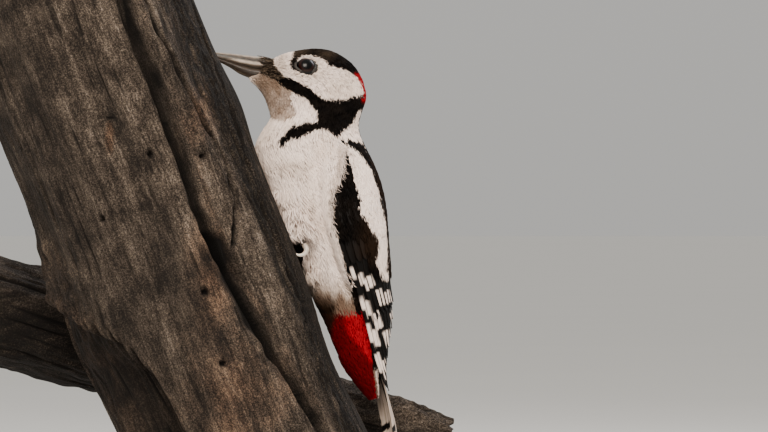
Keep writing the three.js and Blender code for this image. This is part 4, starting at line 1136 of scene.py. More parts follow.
@dataclass
class Vanes:
    """A row of stiff feathers. place(t, across, lift) gives points for each of them, in lines."""

    place: Callable[[Array, Array, Array], Array]
    width: Array
    thickness: float = 0.26
    tilt: float = 0.4
    camber: float = 0.3
    blunt: float = 0.9
    rows: int = VANE_ROWS

    def build(self, paint: Callable, unwrap: Callable, rng: Rng) -> Shape:
        """Closed vanes: narrow at the root, widest past the middle, rounded or pointed at the tip.

        Half width is w (0.6 + 0.4 sin pi t), times a circle's fall over the last part of the length. The
        edges bend down, the narrow web lies over its neighbour, and the shaft stands up as a ridge.

        Args:
            paint: gives colours from points, t and the place across the web.
            unwrap: gives a place on an unwrap from t and the feather's number.
            rng: the draws that roughen the edges.
        """
        count = len(self.width)
        t = (1 - (1 - np.linspace(0, 1, self.rows)) ** 1.25)[None, :, None]
        tip = np.clip((t - self.blunt) / (1 - self.blunt), 0, 0.995)
        shape = (0.6 + 0.4 * np.sin(np.pi * np.minimum(t * 1.1, 1.0))) * np.sqrt(1 - tip**2)
        ragged = 1 - 0.07 * rng.random((count, self.rows, 1)) ** 3
        web = np.concatenate([WEB, WEB[-2:0:-1]])[None, None]
        top = np.concatenate([np.ones(len(WEB)), -np.ones(len(WEB) - 2)])[None, None]
        share = np.where(web < 0, OUTER_WEB, 1 - OUTER_WEB)
        across = web * share * self.width[:, None, None] * shape * np.where(np.abs(web) > 0.9, ragged, 1.0)
        ridge = np.where((np.abs(web) < 0.1) & (top > 0), 0.13 * (1 - 0.8 * t), 0.0)
        lift = top * self.thickness / 2 * (1 - 0.6 * np.abs(web)) * (1 - 0.4 * t) + ridge
        lift = lift - self.tilt * web * np.minimum(1, 3 * t) - self.camber * web**2
        t = np.broadcast_to(t, across.shape)
        rings = self.place(t, across, lift)
        points, quads, triangles = closed_skins(rings, rings[:, 0].mean(axis=1), rings[:, -1].mean(axis=1))
        sides = across.shape[2]
        colours = paint(rings, t, np.broadcast_to(web, across.shape))

        def spread(values: Array) -> Array:
            """Values for every point, with the end rings' means for the poles."""
            flat = values.reshape(count, self.rows * sides, -1)
            ends = [values[:, 0].mean(axis=1)[:, None], values[:, -1].mean(axis=1)[:, None]]
            return np.concatenate([flat, *ends], axis=1).reshape(-1, values.shape[-1])

        length = np.linalg.norm(np.diff(rings[:, :, 0], axis=1), axis=-1).sum(axis=1)
        barbs = np.stack([across, t * length[:, None, None]], axis=-1)
        number = np.broadcast_to(np.arange(count)[:, None, None], across.shape)
        patches = np.stack(unwrap(t, number + 0.35 * web), axis=-1)
        return Shape(points, quads, triangles, spread(colours), spread(patches), spread(barbs))


# --- head ---


UPPER_BILL = ((-39.9, 170.8, 169.3, 0.5), (-37.5, 170.7, 167.9, 1.3), (-31.0, 170.2, 165.8, 2.3),
    (-21.7, 169.2, 163.4, 3.6), (-15.0, 168.5, 162.5, 4.5), (-11.0, 167.6, 160.6, 4.6), (-5.0, 166.4, 160.4, 3.2))
LOWER_BILL = ((-38.6, 169.2, 167.4, 0.4), (-36.6, 168.1, 166.6, 1.0), (-31.0, 166.3, 163.6, 1.9),
    (-27.0, 165.2, 161.0, 2.7), (-21.7, 163.9, 159.0, 3.4), (-15.0, 162.9, 158.2, 4.1), (-11.0, 161.0, 157.8, 4.2),
    (-6.0, 160.8, 157.4, 3.0))


@dataclass(frozen=True)
class Bill:
    """The chisel bill: two mandibles of horn, ridged along the sides, worn square at the tip."""

    trunk: TrunkForm
    nostril: tuple[float, float] = (-15.6, 165.6)
    nostril_size: tuple[float, float] = (1.7, 0.6)
    around: int = 48
    along: int = 90

    def surface(self, rows: tuple, ridge: int) -> Surface:
        """A mandible's face: rings round its rows, narrowed towards the ridge, read by row and degrees."""

        def at(p: Array, q: Array, lift: Array) -> Array:
            """Points for rows and degrees."""
            row = catmull_rom(np.array(rows), p)
            a = np.radians(q)
            rise = np.sin(a) * ridge
            narrow = np.where(rise > 0, 1 - 0.45 * rise, 1.0)
            middle, height = (row[..., 1] + row[..., 2]) / 2, (row[..., 1] - row[..., 2]) / 2
            side = (row[..., 3] + lift) * np.cos(a) * narrow
            centre = self.trunk.in_plane(row[..., 0], middle + (height + lift) * np.sin(a))
            return centre + self.trunk.bird_left * side[..., None]

        return at

    def mandible(self, rows: tuple, ridge: int) -> Shape:
        """A closed mandible with a groove along the cutting edge and, above, a side ridge and nostrils."""
        p, q = np.meshgrid(np.linspace(0, len(rows) - 1, self.along), np.arange(self.around) * 360 / self.around,
            indexing="ij")
        rise = np.sin(np.radians(q)) * ridge
        front = step(p, 0.0, 1.5)
        side_ridge = 0.16 * bell(rise - 0.32, 0.1) * front * (ridge > 0)
        groove = -0.16 * bell(rise - 0.1, 0.12) * front
        edge = 0.1 * bell(rise + 0.5, 0.16) * front * (ridge > 0)
        grain = 0.05 * (noise(q / 9.0, p * 1.4, 31) - 0.5)
        points = self.surface(rows, ridge)(p, q, side_ridge + groove + edge + grain)
        # Pale along the top ridge, and along the lower mandible's underside: partly the horn's own worn paleness,
        # partly a painted highlight where the light falls.
        mark = 0.12 + 0.38 * bell(rise - 0.85, 0.2) * np.where(ridge > 0, 1.0, 0.6)
        if ridge > 0:
            back = step(p, 1.6, 2.4) * (1 - step(p, 4.3, 4.7))
            mark = mark + 0.5 * bell(rise + 0.3, 0.24) * back
            # Painted shade: a darker line along the groove, below the side ridge.
            mark = mark - 0.2 * bell(rise - 0.2, 0.16)
        if ridge > 0:
            spot = [(points[..., 0] - self.nostril[0]), (points[..., 2] - self.nostril[1])]
            off = np.hypot(spot[0] / self.nostril_size[0], (spot[1] + 0.25 * spot[0]) / self.nostril_size[1])
            hole = step(1.5 - off, 0.0, 0.9)
            centre = self.trunk.in_plane(points[..., 0], points[..., 2])
            points = blend(points, centre, 0.28 * hole)
            # Painted shade in the nostril's hollow.
            mark = mark - hole
        shape = solid(points)
        shape.marks = {"Pale": np.append(mark, [mark[0].mean(), mark[-1].mean()])}
        return shape

    def bristles(self) -> Shape:
        """Stiff dark bristles of the left side, which lie forward over the nostril and the gape."""
        rng = np.random.default_rng(221)
        surface = self.surface(UPPER_BILL, 1)
        count = 210
        p = rng.uniform(4.35, 5.5, count)
        q = rng.uniform(-80.0, 52.0, count)
        hair = Locks(p, q, 180 + rng.normal(0, 13, count) + 0.1 * q, rng.uniform(2.6, 5.2, count),
            rng.uniform(0.26, 0.44, count), np.full(count, 0.15), rng.uniform(0.15, 0.7, count),
            rng.normal(0, 12, count))

        def paint(points: Array, place: Array, turn: Array, draws: Rng) -> Array:
            """Dark brown, a few of them paler."""
            brown = draws.random((len(points), 1, 1)) ** 2.5
            return mix(Tint.SOOT.rgb, Tint.BROWN.rgb * [0.7, 0.9, 1.0], brown) + 0 * points

        return grow(surface, hair, paint, lambda a, b: (a / 7.0, np.mod(b / 360 + 0.5, 1.0)), rng, thick=0.5)

    def build(self) -> None:
        """Adds both mandibles and the bristles at their root."""
        upper = Horn("bill_upper_horn_keratin")
        lower = Horn("bill_lower_horn_keratin", dark="#17110d", middle="#3c3128", pale="#82735f")
        add_piece("bill_upper_horn", self.mandible(UPPER_BILL, 1), upper, "bill_horn", "bill_upper")
        add_piece("bill_lower_horn", self.mandible(LOWER_BILL, -1), lower, "bill_horn", "bill_lower")
        add_pair("coat_bristles_*", self.bristles(), self.trunk, CONTOUR, "white_feather")


@dataclass
class Eyes:
    """Two glass eyes set in the head, each in a rim of bare wrinkled skin."""

    form: BirdForm
    radius: float = 5.0
    place_at: tuple[float, float] = (2.9, 164.7)
    sunk: float = 3.2
    rim: tuple[float, float] = (4.45, 3.7)
    corner: float = 0.16

    def __post_init__(self) -> None:
        """Finds the eye's place and frame on the side of the head, and fits the face's curve round it."""
        station, angle = np.meshgrid(np.linspace(0.5, 8, 301), np.linspace(20, 140, 401), indexing="ij")
        face = self.form.body(station, angle, 0.0 * station)
        miss = (face[..., 0] - self.place_at[0]) ** 2 + (face[..., 2] - self.place_at[1]) ** 2
        best = np.unravel_index(np.argmin(miss), miss.shape)
        self.point = face[best]
        self.out = normal_of(self.form.body, station[best], angle[best], 0.0)
        self.long = unit(np.array([1.0, 0, 0]) - self.out * self.out[0])
        self.up = np.cross(self.out, self.long)
        if self.up[2] < 0:
            self.up = -self.up
        self.centre = self.point - self.out * self.sunk
        near = face[np.linalg.norm(face - self.point, axis=-1) < 9.0]
        a, b, c = ((near - self.point) @ axis for axis in (self.long, self.up, self.out))
        self.curve = np.linalg.lstsq(self.terms(a, b), c, rcond=None)[0]

    @staticmethod
    def terms(a: Array, b: Array) -> Array:
        """The terms of a cubic in two numbers."""
        return np.stack([np.ones_like(a), a, b, a * a, a * b, b * b, a**3, a * a * b, a * b * b, b**3], axis=-1)

    def face_height(self, a: Array, b: Array) -> Array:
        """How far the face stands out at a place beside the eye."""
        return self.terms(a, b) @ self.curve

    def part(self, points: Array) -> Array:
        """Moves feathers that would cross an eye out to its rim, on both sides of the head."""
        side = self.form.trunk.side(points)
        left = np.where((side < 0)[..., None], self.form.trunk.mirror(points), points)
        offset = left - self.point
        a, b, c = (offset @ axis for axis in (self.long, self.up, self.out))
        size = np.hypot(a / (self.rim[0] + 0.15), b / (self.rim[1] + 0.15))
        near = (size < 1) & (np.abs(c) < 5)
        push = np.where(near, 1 / np.maximum(size, 0.25) - 1, 0.0)[..., None]
        moved = left + (self.long * a[..., None] + self.up * b[..., None]) * push
        return np.where((side < 0)[..., None], self.form.trunk.mirror(moved), moved)

    def clear_of(self, points: Array) -> Array:
        """Whether roots lie outside both rims."""
        side = self.form.trunk.side(points)[..., None]
        offset = np.where(side < 0, self.form.trunk.mirror(points), points) - self.point
        size = np.hypot(offset @ self.long / (self.rim[0] + 0.05), offset @ self.up / (self.rim[1] + 0.05))
        return (size > 1) | (np.abs(offset @ self.out) > 6)

    def ball(self) -> Shape:
        """The eyeball: rings about its own axis, with the cornea's low dome over the iris."""
        polar = np.radians(np.linspace(2.0, 178.0, 44))[:, None]
        turn = np.radians(np.arange(56) * 360 / 56)[None]
        cornea = 0.06 * bell(np.degrees(polar), 40.0, 4)
        size = self.radius + cornea + 0 * turn
        points = (self.centre + self.out * (size * np.cos(polar))[..., None]
            + self.long * (size * np.sin(polar) * np.cos(turn))[..., None]
            + self.up * (size * np.sin(polar) * np.sin(turn))[..., None])
        angle = np.degrees(polar) + 0 * turn
        iris = step(angle, 27.0, 31.0) * (1 - 0.9 * step(angle, 40.0, 48.0))
        shape = solid(points, self.centre + self.out * (self.radius + 0.06), self.centre - self.out * self.radius)
        shape.marks = {"Iris": np.append(iris, [0.0, 0.0])}
        return shape

    def lids(self) -> Shape:
        """The rim: a closed roll round the eye, from the ball's face out to under the feathers.

        Its section is a ring of places in the rim's own scale, 1 at the rim, with their heights over the
        face. Small folds run round the rim and fade outwards.
        """
        section = np.array([[0.8, -0.9], [0.83, 0.1], [0.86, 0.5], [0.9, 0.62], [0.95, 0.5], [1.0, 0.25], [1.06, 0.1],
            [1.14, -0.1], [1.25, -0.4], [1.36, -0.9], [1.36, -1.6], [1.1, -1.7], [0.86, -1.6]])
        turn = np.linspace(0, 2 * np.pi, 144, endpoint=False)[:, None]
        size = section[None, :, 0] * (1 + self.corner * np.maximum(0, -np.cos(turn)) ** 6 * (section[:, 0] < 1.2))
        folds = 0.08 * np.sin(section[None, :, 0] * 34 + 1.5 * np.sin(3 * turn)) * (section[:, 1] > -0.5)
        pleats = 0.05 * np.sin(turn * 23 + section[None, :, 0] * 9) * (section[:, 1] > -0.2)
        a, b = size * self.rim[0] * np.cos(turn), size * self.rim[1] * np.sin(turn)
        height = self.face_height(a, b) + section[None, :, 1] + folds + pleats
        points = (self.point + self.long * a[..., None] + self.up * b[..., None] + self.out * height[..., None])
        rows, sides = a.shape
        r, k = (x.ravel() for x in np.meshgrid(np.arange(rows), np.arange(sides), indexing="ij"))
        after, beside = (r + 1) % rows * sides, (k + 1) % sides
        quads = np.stack([r * sides + k, r * sides + beside, after + beside, after + k], axis=1)
        flat = points.reshape(-1, 3)
        corners = flat[quads] - flat.mean(axis=0)
        first = np.einsum("ni,ni->", corners[:, 0], np.cross(corners[:, 1], corners[:, 2]))
        second = np.einsum("ni,ni->", corners[:, 0], np.cross(corners[:, 2], corners[:, 3]))
        if first + second < 0:
            quads = quads[:, ::-1]
        return Shape(flat, quads, np.zeros((0, 3), int))

    def build(self) -> None:
        """Adds both eyes and their rims."""
        glass = GlassEye("eye_blown_glass")
        skin = ScaledSkin("eyelid_bare_skin", light="#332c27", dark="#0a0807", crease=0.42)
        add_pair("eyeball_*", self.ball(), self.form.trunk, glass, "eye", "eye_*")
        add_pair("eye_rim_*", self.lids(), self.form.trunk, skin, "foot_scale")


# --- body and coat ---


def body_unwrap(station: Array, angle: Array) -> tuple[Array, Array]:
    """The body's unwrap: stations across, angles up, each filling the map."""
    return np.clip(station / (LAST_STATION + 0.5), 0, 1), np.mod(angle / 360 + 0.5, 1.0)


@dataclass
class Body:
    """The skin, and the coat of small feathers over it."""

    form: BirdForm
    markings: Markings
    eyes: Eyes
    rings: int = 160
    sides: int = 108

    def depth(self, station: Array) -> Array:
        """Depth of the skin under the coat's face: shallow on the face, deeper on the body."""
        return np.interp(station, [0, 3, 8, 12, 16, 24, 27], [0.5, 0.8, 1.0, 1.4, 1.9, 1.9, 0.8])

    def thigh(self) -> Shape:
        """The left thigh and shank's flesh, in the belly's side."""
        trunk = self.form.trunk
        pad = trunk.point(11.0, 89.0, 5.2)
        places = [(19.9, 132.0, -4.2), (20.7, 116.0, -6.0), (21.4, 104.0, -8.2)]
        path = np.vstack([mix(pad, self.form.body(*map(np.array, places[0])), 0.35)]
            + [self.form.body(*map(np.array, p)) for p in places])
        steps = np.linspace(0, 3, 24)
        radii = catmull_rom(np.array([[1.9], [3.3], [4.7], [2.4]]), steps)[:, 0]
        return tube(catmull_rom(path, steps), radii, 24)

    def skin(self) -> Shape:
        """One closed skin from the bill's root to the end of the tail coverts, with the thighs set in it."""
        station, angle = np.meshgrid(np.linspace(0, LAST_STATION, self.rings), np.arange(self.sides) * 360 / self.sides,
            indexing="ij")
        points = self.form.body(station, angle, -self.depth(station))
        points = self.form.trunk.push_out(points)
        rng = np.random.default_rng(5)
        colours = self.markings.body(points, station, angle, rng) * 0.85
        patches = np.stack(body_unwrap(station, angle), axis=-1)
        shape = solid(points)
        shape.colours = np.concatenate([colours.reshape(-1, 3), colours[:1, 0], colours[-1:, 0]])
        shape.patches = np.concatenate([patches.reshape(-1, 2), patches[:1, 0], patches[-1:, 0]])
        parts = [shape]
        for thigh in (self.thigh(), self.thigh().mirrored(self.form.trunk)):
            thigh.colours = np.broadcast_to(Tint.BUFF.rgb * 0.5, thigh.points.shape)
            thigh.patches = np.broadcast_to([0.99, 0.5], (len(thigh.points), 2))
            parts.append(thigh)
        return joined(parts)

    def fit(self, points: Array) -> Array:
        """Keeps locks out of the eyes and of the wood."""
        return self.form.trunk.push_out(self.eyes.part(points))

    def zone(self, name: str, stations: tuple[float, float], angles: tuple[float, float], spacing: float, locks: int,
            seed: int, length: float = 1.0, loose: float = 1.0, keep: Callable | None = None) -> None:
        """Grows the small feathers of one zone and adds them as a piece.

        Args:
            name: the piece's name.
            stations: where the roots lie along the body.
            angles: where they lie round it.
            spacing: millimetres between feathers.
            locks: locks in a feather.
            seed: the zone's own draws.
            length: factor on the feathers' length.
            loose: factor on how far tips stand off.
            keep: from stations and angles, which roots to keep.
        """
        rng = np.random.default_rng(seed)
        p, q = scatter(self.form.body, stations, angles, spacing, rng)
        roots = self.form.body(p, q, 0 * p)
        mask = self.eyes.clear_of(roots) & (p > stations[0]) & (p < stations[1])
        if keep:
            mask = mask & keep(p, q)
        p, q = p[mask], q[mask]
        size = length * np.interp(p, [0, 2, 5, 9, 12, 15, 20, 24, 27], [1.5, 2.2, 3.2, 4.4, 6.0, 7.8, 9.0, 8.5, 6.0])
        fan = feathers(self.form.body, p, q, 0.0, size, size * np.interp(p, [0, 10, 16], [0.42, 0.4, 0.34]), rng, locks,
            30.0, self.depth(p) + 0.15, np.interp(p, [0, 6, 14, 24], [0.05, 0.12, 0.3, 0.45]) * loose)
        coat = grow(self.form.body, fan, self.markings.body, body_unwrap, rng, self.fit)
        add_piece(name, coat, CONTOUR, "white_feather")

    def over_toes(self) -> None:
        """Belly feathers of both sides that fall over the outer toe, up to its claw."""
        rng = np.random.default_rng(109)
        p, q = scatter(self.form.body, (16.2, 18.2), (122, 168), 1.5, rng)
        mask = (p > 16.2) & (p < 18.2) & (q > 122) & (q < 168)
        p, q = p[mask], q[mask]
        size = rng.uniform(8.8, 10.2, len(p))
        near = bell(q - 146.0, 14.0, 4)
        high = 0.4 + near * np.interp(p, [16.2, 17.4, 17.8, 18.2], [0.6, 5.6, 6.4, 6.6])
        sunk = 0.8 - near * np.interp(p, [16.2, 17.2, 18.2], [0.0, 1.5, 3.4])
        fan = feathers(self.form.body, p, q, -4.0, size, 0 * p + 3.0, rng, 6, 22.0, sunk, high, 3.0)
        tuft = grow(self.form.body, fan, self.markings.body, body_unwrap, rng, self.fit)
        add_pair("coat_over_toes_*", tuft, self.form.trunk, CONTOUR, "white_feather")

    def below_wing(self, station: Array, angle: Array) -> Array:
        """Whether a place is on the breast, belly or flank, clear of the folded wing."""
        return np.abs(half_turn(angle)) > self.form.leading_angle(station) - 9

    def above_wing(self, station: Array, angle: Array) -> Array:
        """Whether a place is on the back, between the folded wings."""
        return np.abs(angle) < mix(70.0, 26.0, step(station, 13.5, 15.5))

    def build(self) -> None:
        """Adds the skin and every zone of the coat."""
        flesh = Feather("skin_under_down")
        nodes = ("head", "neck", "torso", "leg_left", "leg_right")
        add_piece("skin", self.skin(), flesh, "white_feather", *nodes)
        self.zone("coat_face", (0.05, 5.2), (-180, 180), 0.86, 4, 101)
        self.zone("coat_crown_and_nape", (5.0, 10.2), (-180, 180), 1.02, 4, 102)
        self.zone("coat_neck", (9.8, 14.6), (-180, 180), 1.38, 5, 103)
        self.zone("coat_breast", (14.2, 18.4), (60, 300), 1.5, 5, 104, keep=self.below_wing)
        self.zone("coat_belly", (18.0, 24.4), (60, 300), 1.55, 5, 105, loose=0.8, keep=self.below_wing)
        self.zone("coat_thighs", (16.2, 19.9), (152, 208), 1.9, 5, 108, 1.2, 6.0)
        self.over_toes()
        self.zone("coat_undertail", (23.6, 27.3), (30, 330), 1.25, 5, 106, 1.1, 1.6)
        self.zone("coat_back", (13.8, 25.0), (-70, 70), 1.7, 5, 107, 1.1, keep=self.above_wing)


# --- wings ---


@dataclass
class Wings:
    """Both folded wings: a dark shell, four tiers of vanes, small coverts, and the white scapulars."""

    form: BirdForm
    markings: Markings

    def place(self, root: Array, tip: Array, share: Array, low: Array, high: Array) -> Callable:
        """Where points of a row of wing feathers lie: along a constant share of the wing's width."""

        def at(t: Array, across: Array, lift: Array) -> Array:
            """Points at shares of the feathers' length, millimetres across them and over them."""
            station = mix(root[:, None, None], tip[:, None, None], t)
            centre = share[:, None, None] + 0 * t
            near = self.form.wing(station, centre + 0.02, 0 * t) - self.form.wing(station, centre - 0.02, 0 * t)
            per_share = np.maximum(np.linalg.norm(near, axis=-1) / 0.04, 9.0)
            base = mix(low[:, None, None], high[:, None, None], t)
            return self.form.wing(station, centre + across / per_share, base + lift)

        return at

    def tier(self, count: int, root: float, tip: tuple[float, float], share: tuple[float, float], width: float,
            low: float, high: tuple[float, float], seed: int, blunt: float = 0.9, bars: bool = True,
            rows: int = VANE_ROWS) -> Shape:
        """One tier of vanes, from the leading edge inwards. Pairs are a first value and a step.

        White bars cross only the narrow web and stop short of the shaft; each feather's bars are shifted a
        little, as on a real wing.
        """
        rng = np.random.default_rng(seed)
        i = np.arange(count)
        centre = share[0] + share[1] * i
        place = self.place(root + 0.0 * i, tip[0] + tip[1] * i + rng.normal(0, 0.05, count), centre, low + 0.0 * i,
            high[0] + high[1] * i)
        shift = rng.normal(0, 0.5, (count, 1, 1))

        def paint(points: Array, t: Array, web: Array) -> Array:
            """Black with greyer edges, and white bars."""
            if not bars:
                return self.markings.wing(points)
            black = blend(Tint.BLACK.rgb, Tint.SOOT.rgb, 0.1 + 0.6 * step(np.abs(web), 0.75, 1.0))
            white = self.markings.bar_share(points + np.array([0, 0, 1.0]) * (0.5 * shift + 0.6 * web)[..., None])
            fade = step(-web, 0.08, 0.16) * (1 - 0.4 * step(-web, 0.9, 1.0))
            return blend(black, mix(Tint.WHITE.rgb, Tint.CREAM.rgb, 0.35), white * fade)

        vanes = Vanes(place, np.full(count, width), blunt=blunt, rows=rows)
        return vanes.build(paint, lambda t, n: (0.05 + 0.9 * t, (n + 1) / (count + 1)), rng)

    def shell(self) -> Shape:
        """The dark body of the wing under its vanes: an outer face and an inner one, closed round the rim."""
        station, share = np.meshgrid(np.linspace(14.5, 21.0, 60), np.linspace(0, 1, 40), indexing="ij")
        inner_share = mix(0.52, 0.95, step(station, 14.5, 21.0))
        start = 0.12 * np.clip(15.5 - station, 0, 1)
        across = mix(start, inner_share, share)
        front_edge = np.sqrt(np.clip((station - 14.4) / 0.8, 0.05, 1))
        round_edge = np.sqrt(np.clip(1 - (2 * share - 1) ** 8, 0, 1)) * front_edge
        outer = self.form.wing(station, across, -1.3 + 0.0 * share - 1.2 * (1 - round_edge))
        angle = mix(self.form.leading_angle(station), WING_BACK_EDGE, across)
        inner = self.form.body(station, angle, -0.2 + 0.0 * share)
        shape = solid(np.concatenate([outer, inner[:, ::-1]], axis=1))
        shape.colours = np.broadcast_to(Tint.BLACK.rgb, shape.points.shape)
        shape.patches, shape.barbs = np.full((len(shape.points), 2), 0.5), shape.points[:, :2]
        return shape

    def flight(self) -> Shape:
        """The shell and every tier of vanes of the left wing."""
        primaries = self.tier(9, 18.8, (26.5, -0.5), (0.13, 0.088), 7.0, -1.4, (-1.1, 0.09), 201, 0.86)
        secondaries = self.tier(8, 18.2, (22.5, -0.12), (0.26, 0.09), 7.4, -1.0, (-0.35, 0.08), 202)
        greater = self.tier(9, 16.9, (20.15, -0.1), (0.05, 0.09), 6.6, -0.9, (0.2, 0.02), 203, bars=False, rows=32)
        median = self.tier(9, 15.7, (18.5, -0.06), (0.04, 0.09), 6.2, -0.6, (0.45, 0.02), 204, bars=False, rows=28)
        return joined([self.shell(), primaries, secondaries, greater, median])

    def unwrap(self, station: Array, share: Array) -> tuple[Array, Array]:
        """The wing's unwrap: stations across, shares up."""
        return np.clip((station - 13) / 15, 0, 1), np.clip(0.1 + 0.8 * share / 1.3, 0, 1)

    def coverts(self) -> Shape:
        """The lesser coverts: small black feathers like scales over the shoulder and forearm."""
        rng = np.random.default_rng(211)
        p, q = scatter(self.form.wing, (13.9, 18.6), (-0.05, 0.8), 1.8, rng)
        bare = q > self.cover(p) / (self.form.leading_angle(p) - WING_BACK_EDGE) - 0.02
        p, q = p[bare], q[bare]
        size = np.interp(p, [14, 16, 18.6], [4.5, 6.0, 7.5])
        fan = feathers(self.form.wing, p, q, 0.0, size, size * 0.42, rng, 5, 24.0, 1.2,
            np.interp(p, [14, 18.6], [0.1, 0.5]), 6.0)
        return grow(self.form.wing, fan, self.markings.wing, self.unwrap, rng, self.form.trunk.push_out)

    def scapulars(self) -> Shape:
        """The scapulars: long loose feathers along the back edge, which carry the white patch."""
        rng = np.random.default_rng(212)
        p, q = scatter(self.form.wing, (13.6, 20.2), (0.38, 0.97), 1.55, rng)
        size = np.interp(p, [13.6, 16, 19, 20.2], [6.0, 8.5, 9.5, 8.5])
        fan = feathers(self.form.wing, p, q, 0.0, size, size * 0.32, rng, 6, 18.0, 1.0,
            np.interp(p, [13.6, 17, 20.6], [0.0, 0.2, 0.5]), 4.0)
        return grow(self.form.wing, fan, self.markings.wing, self.unwrap, rng, self.form.trunk.push_out)

    def flank_surface(self, station: Array, over: Array, lift: Array) -> Array:
        """The coat where the breast meets the wing, read by station and degrees past the wing's edge.

        It is the body's face up to the edge, climbs softly, and lies a millimetre over the wing's.
        """
        leading = self.form.leading_angle(station)
        share = over / (leading - WING_BACK_EDGE)
        climb = smooth((over + 9.0) / 9.0)[..., None]
        body = self.form.body(station, leading - over, lift)
        return mix(body, self.form.wing(station, np.maximum(share, -0.05), lift + 0.9), climb)

    def flank_unwrap(self, station: Array, over: Array) -> tuple[Array, Array]:
        """The same places on the body's unwrap."""
        return body_unwrap(station, self.form.leading_angle(station) - over)

    def cover(self, station: Array) -> Array:
        """Degrees by which the flank's feathers cover the wing's leading edge: most at the shoulder."""
        return np.interp(station, [14.0, 15.0, 16.0, 17.0, 18.0, 21.0], [17.0, 15.0, 10.0, 6.0, 4.5, 3.0])

    def flank(self) -> Shape:
        """Breast and flank feathers that overhang the wing's leading edge; their tips end at the flank's line."""
        rng = np.random.default_rng(214)
        p, q = scatter(self.flank_surface, (14.0, 22.4), (-18.0, 16.0), 1.2, rng)
        size = np.interp(p, [14, 17, 21, 23], [6.0, 7.0, 8.0, 7.0])
        per_p, per_q = metrics(self.flank_surface, p, q)
        tips = self.flank_surface(p + 0.95 * size / per_p, q + 0.15 * size / per_q, 0 * p)
        white = tips[:, 2] > self.markings.belly_end + 2.5
        in_line = self.markings.past_flank(tips) < rng.normal(-0.6, 0.5, len(p))
        mask = white & (q < self.cover(p) - 1.0) & (p > 14.0) & in_line
        p, q, size = p[mask], q[mask], size[mask]
        fan = feathers(self.flank_surface, p, q, 9.0, size, size * 0.36, rng, 5, 26.0, 1.6, 0.3, 7.0)
        paint, fit = self.markings.breast_side, self.form.trunk.push_out
        return grow(self.flank_surface, fan, paint, self.flank_unwrap, rng, fit)

    def fringe(self) -> Shape:
        """Soft hair-like barbs at the tips of the flank's feathers, thickest beside the shoulder."""
        rng = np.random.default_rng(213)
        count = 420
        p = 14.4 + 6.6 * rng.random(count) ** 1.7
        q = self.cover(p) + rng.uniform(-6.0, -1.0, count)
        fullness = ((14, 0.9), (15.5, 1.2), (16.5, 1.0), (17.5, 0.6), (19, 0.4), (22, 0.3))
        size = rng.uniform(3.0, 7.0, count) * read(fullness, p)
        hair = Locks(p, q, rng.uniform(8, 40, count) * np.interp(p, [14, 17.5, 19], [1.0, 0.9, 0.3]), size,
            rng.uniform(0.16, 0.3, count), np.full(count, 0.4), rng.uniform(0.5, 1.3, count), rng.normal(-6, 16, count))

        def paint(points: Array, station: Array, over: Array, draws: Rng) -> Array:
            """White to buff, a few of them brown."""
            brown = draws.random((len(points), 1, 1)) ** 2
            return mix(Tint.WHITE.rgb, Tint.BUFF.rgb, brown)

        return grow(self.flank_surface, hair, paint, self.flank_unwrap, rng, self.form.trunk.push_out, 0.5)

    def build(self) -> None:
        """Adds both wings and their small feathers."""
        trunk = self.form.trunk
        add_pair("wing_vanes_*", self.flight(), trunk, VANE, "black_feather", "wing_*")
        add_pair("wing_coverts_*", self.coverts(), trunk, CONTOUR, "black_feather")
        add_pair("wing_scapulars_*", self.scapulars(), trunk, CONTOUR, "white_feather")
        add_pair("coat_flank_*", self.flank(), trunk, CONTOUR, "white_feather")
        add_pair("coat_fringe_*", self.fringe(), trunk, CONTOUR, "white_feather")


# --- tail ---


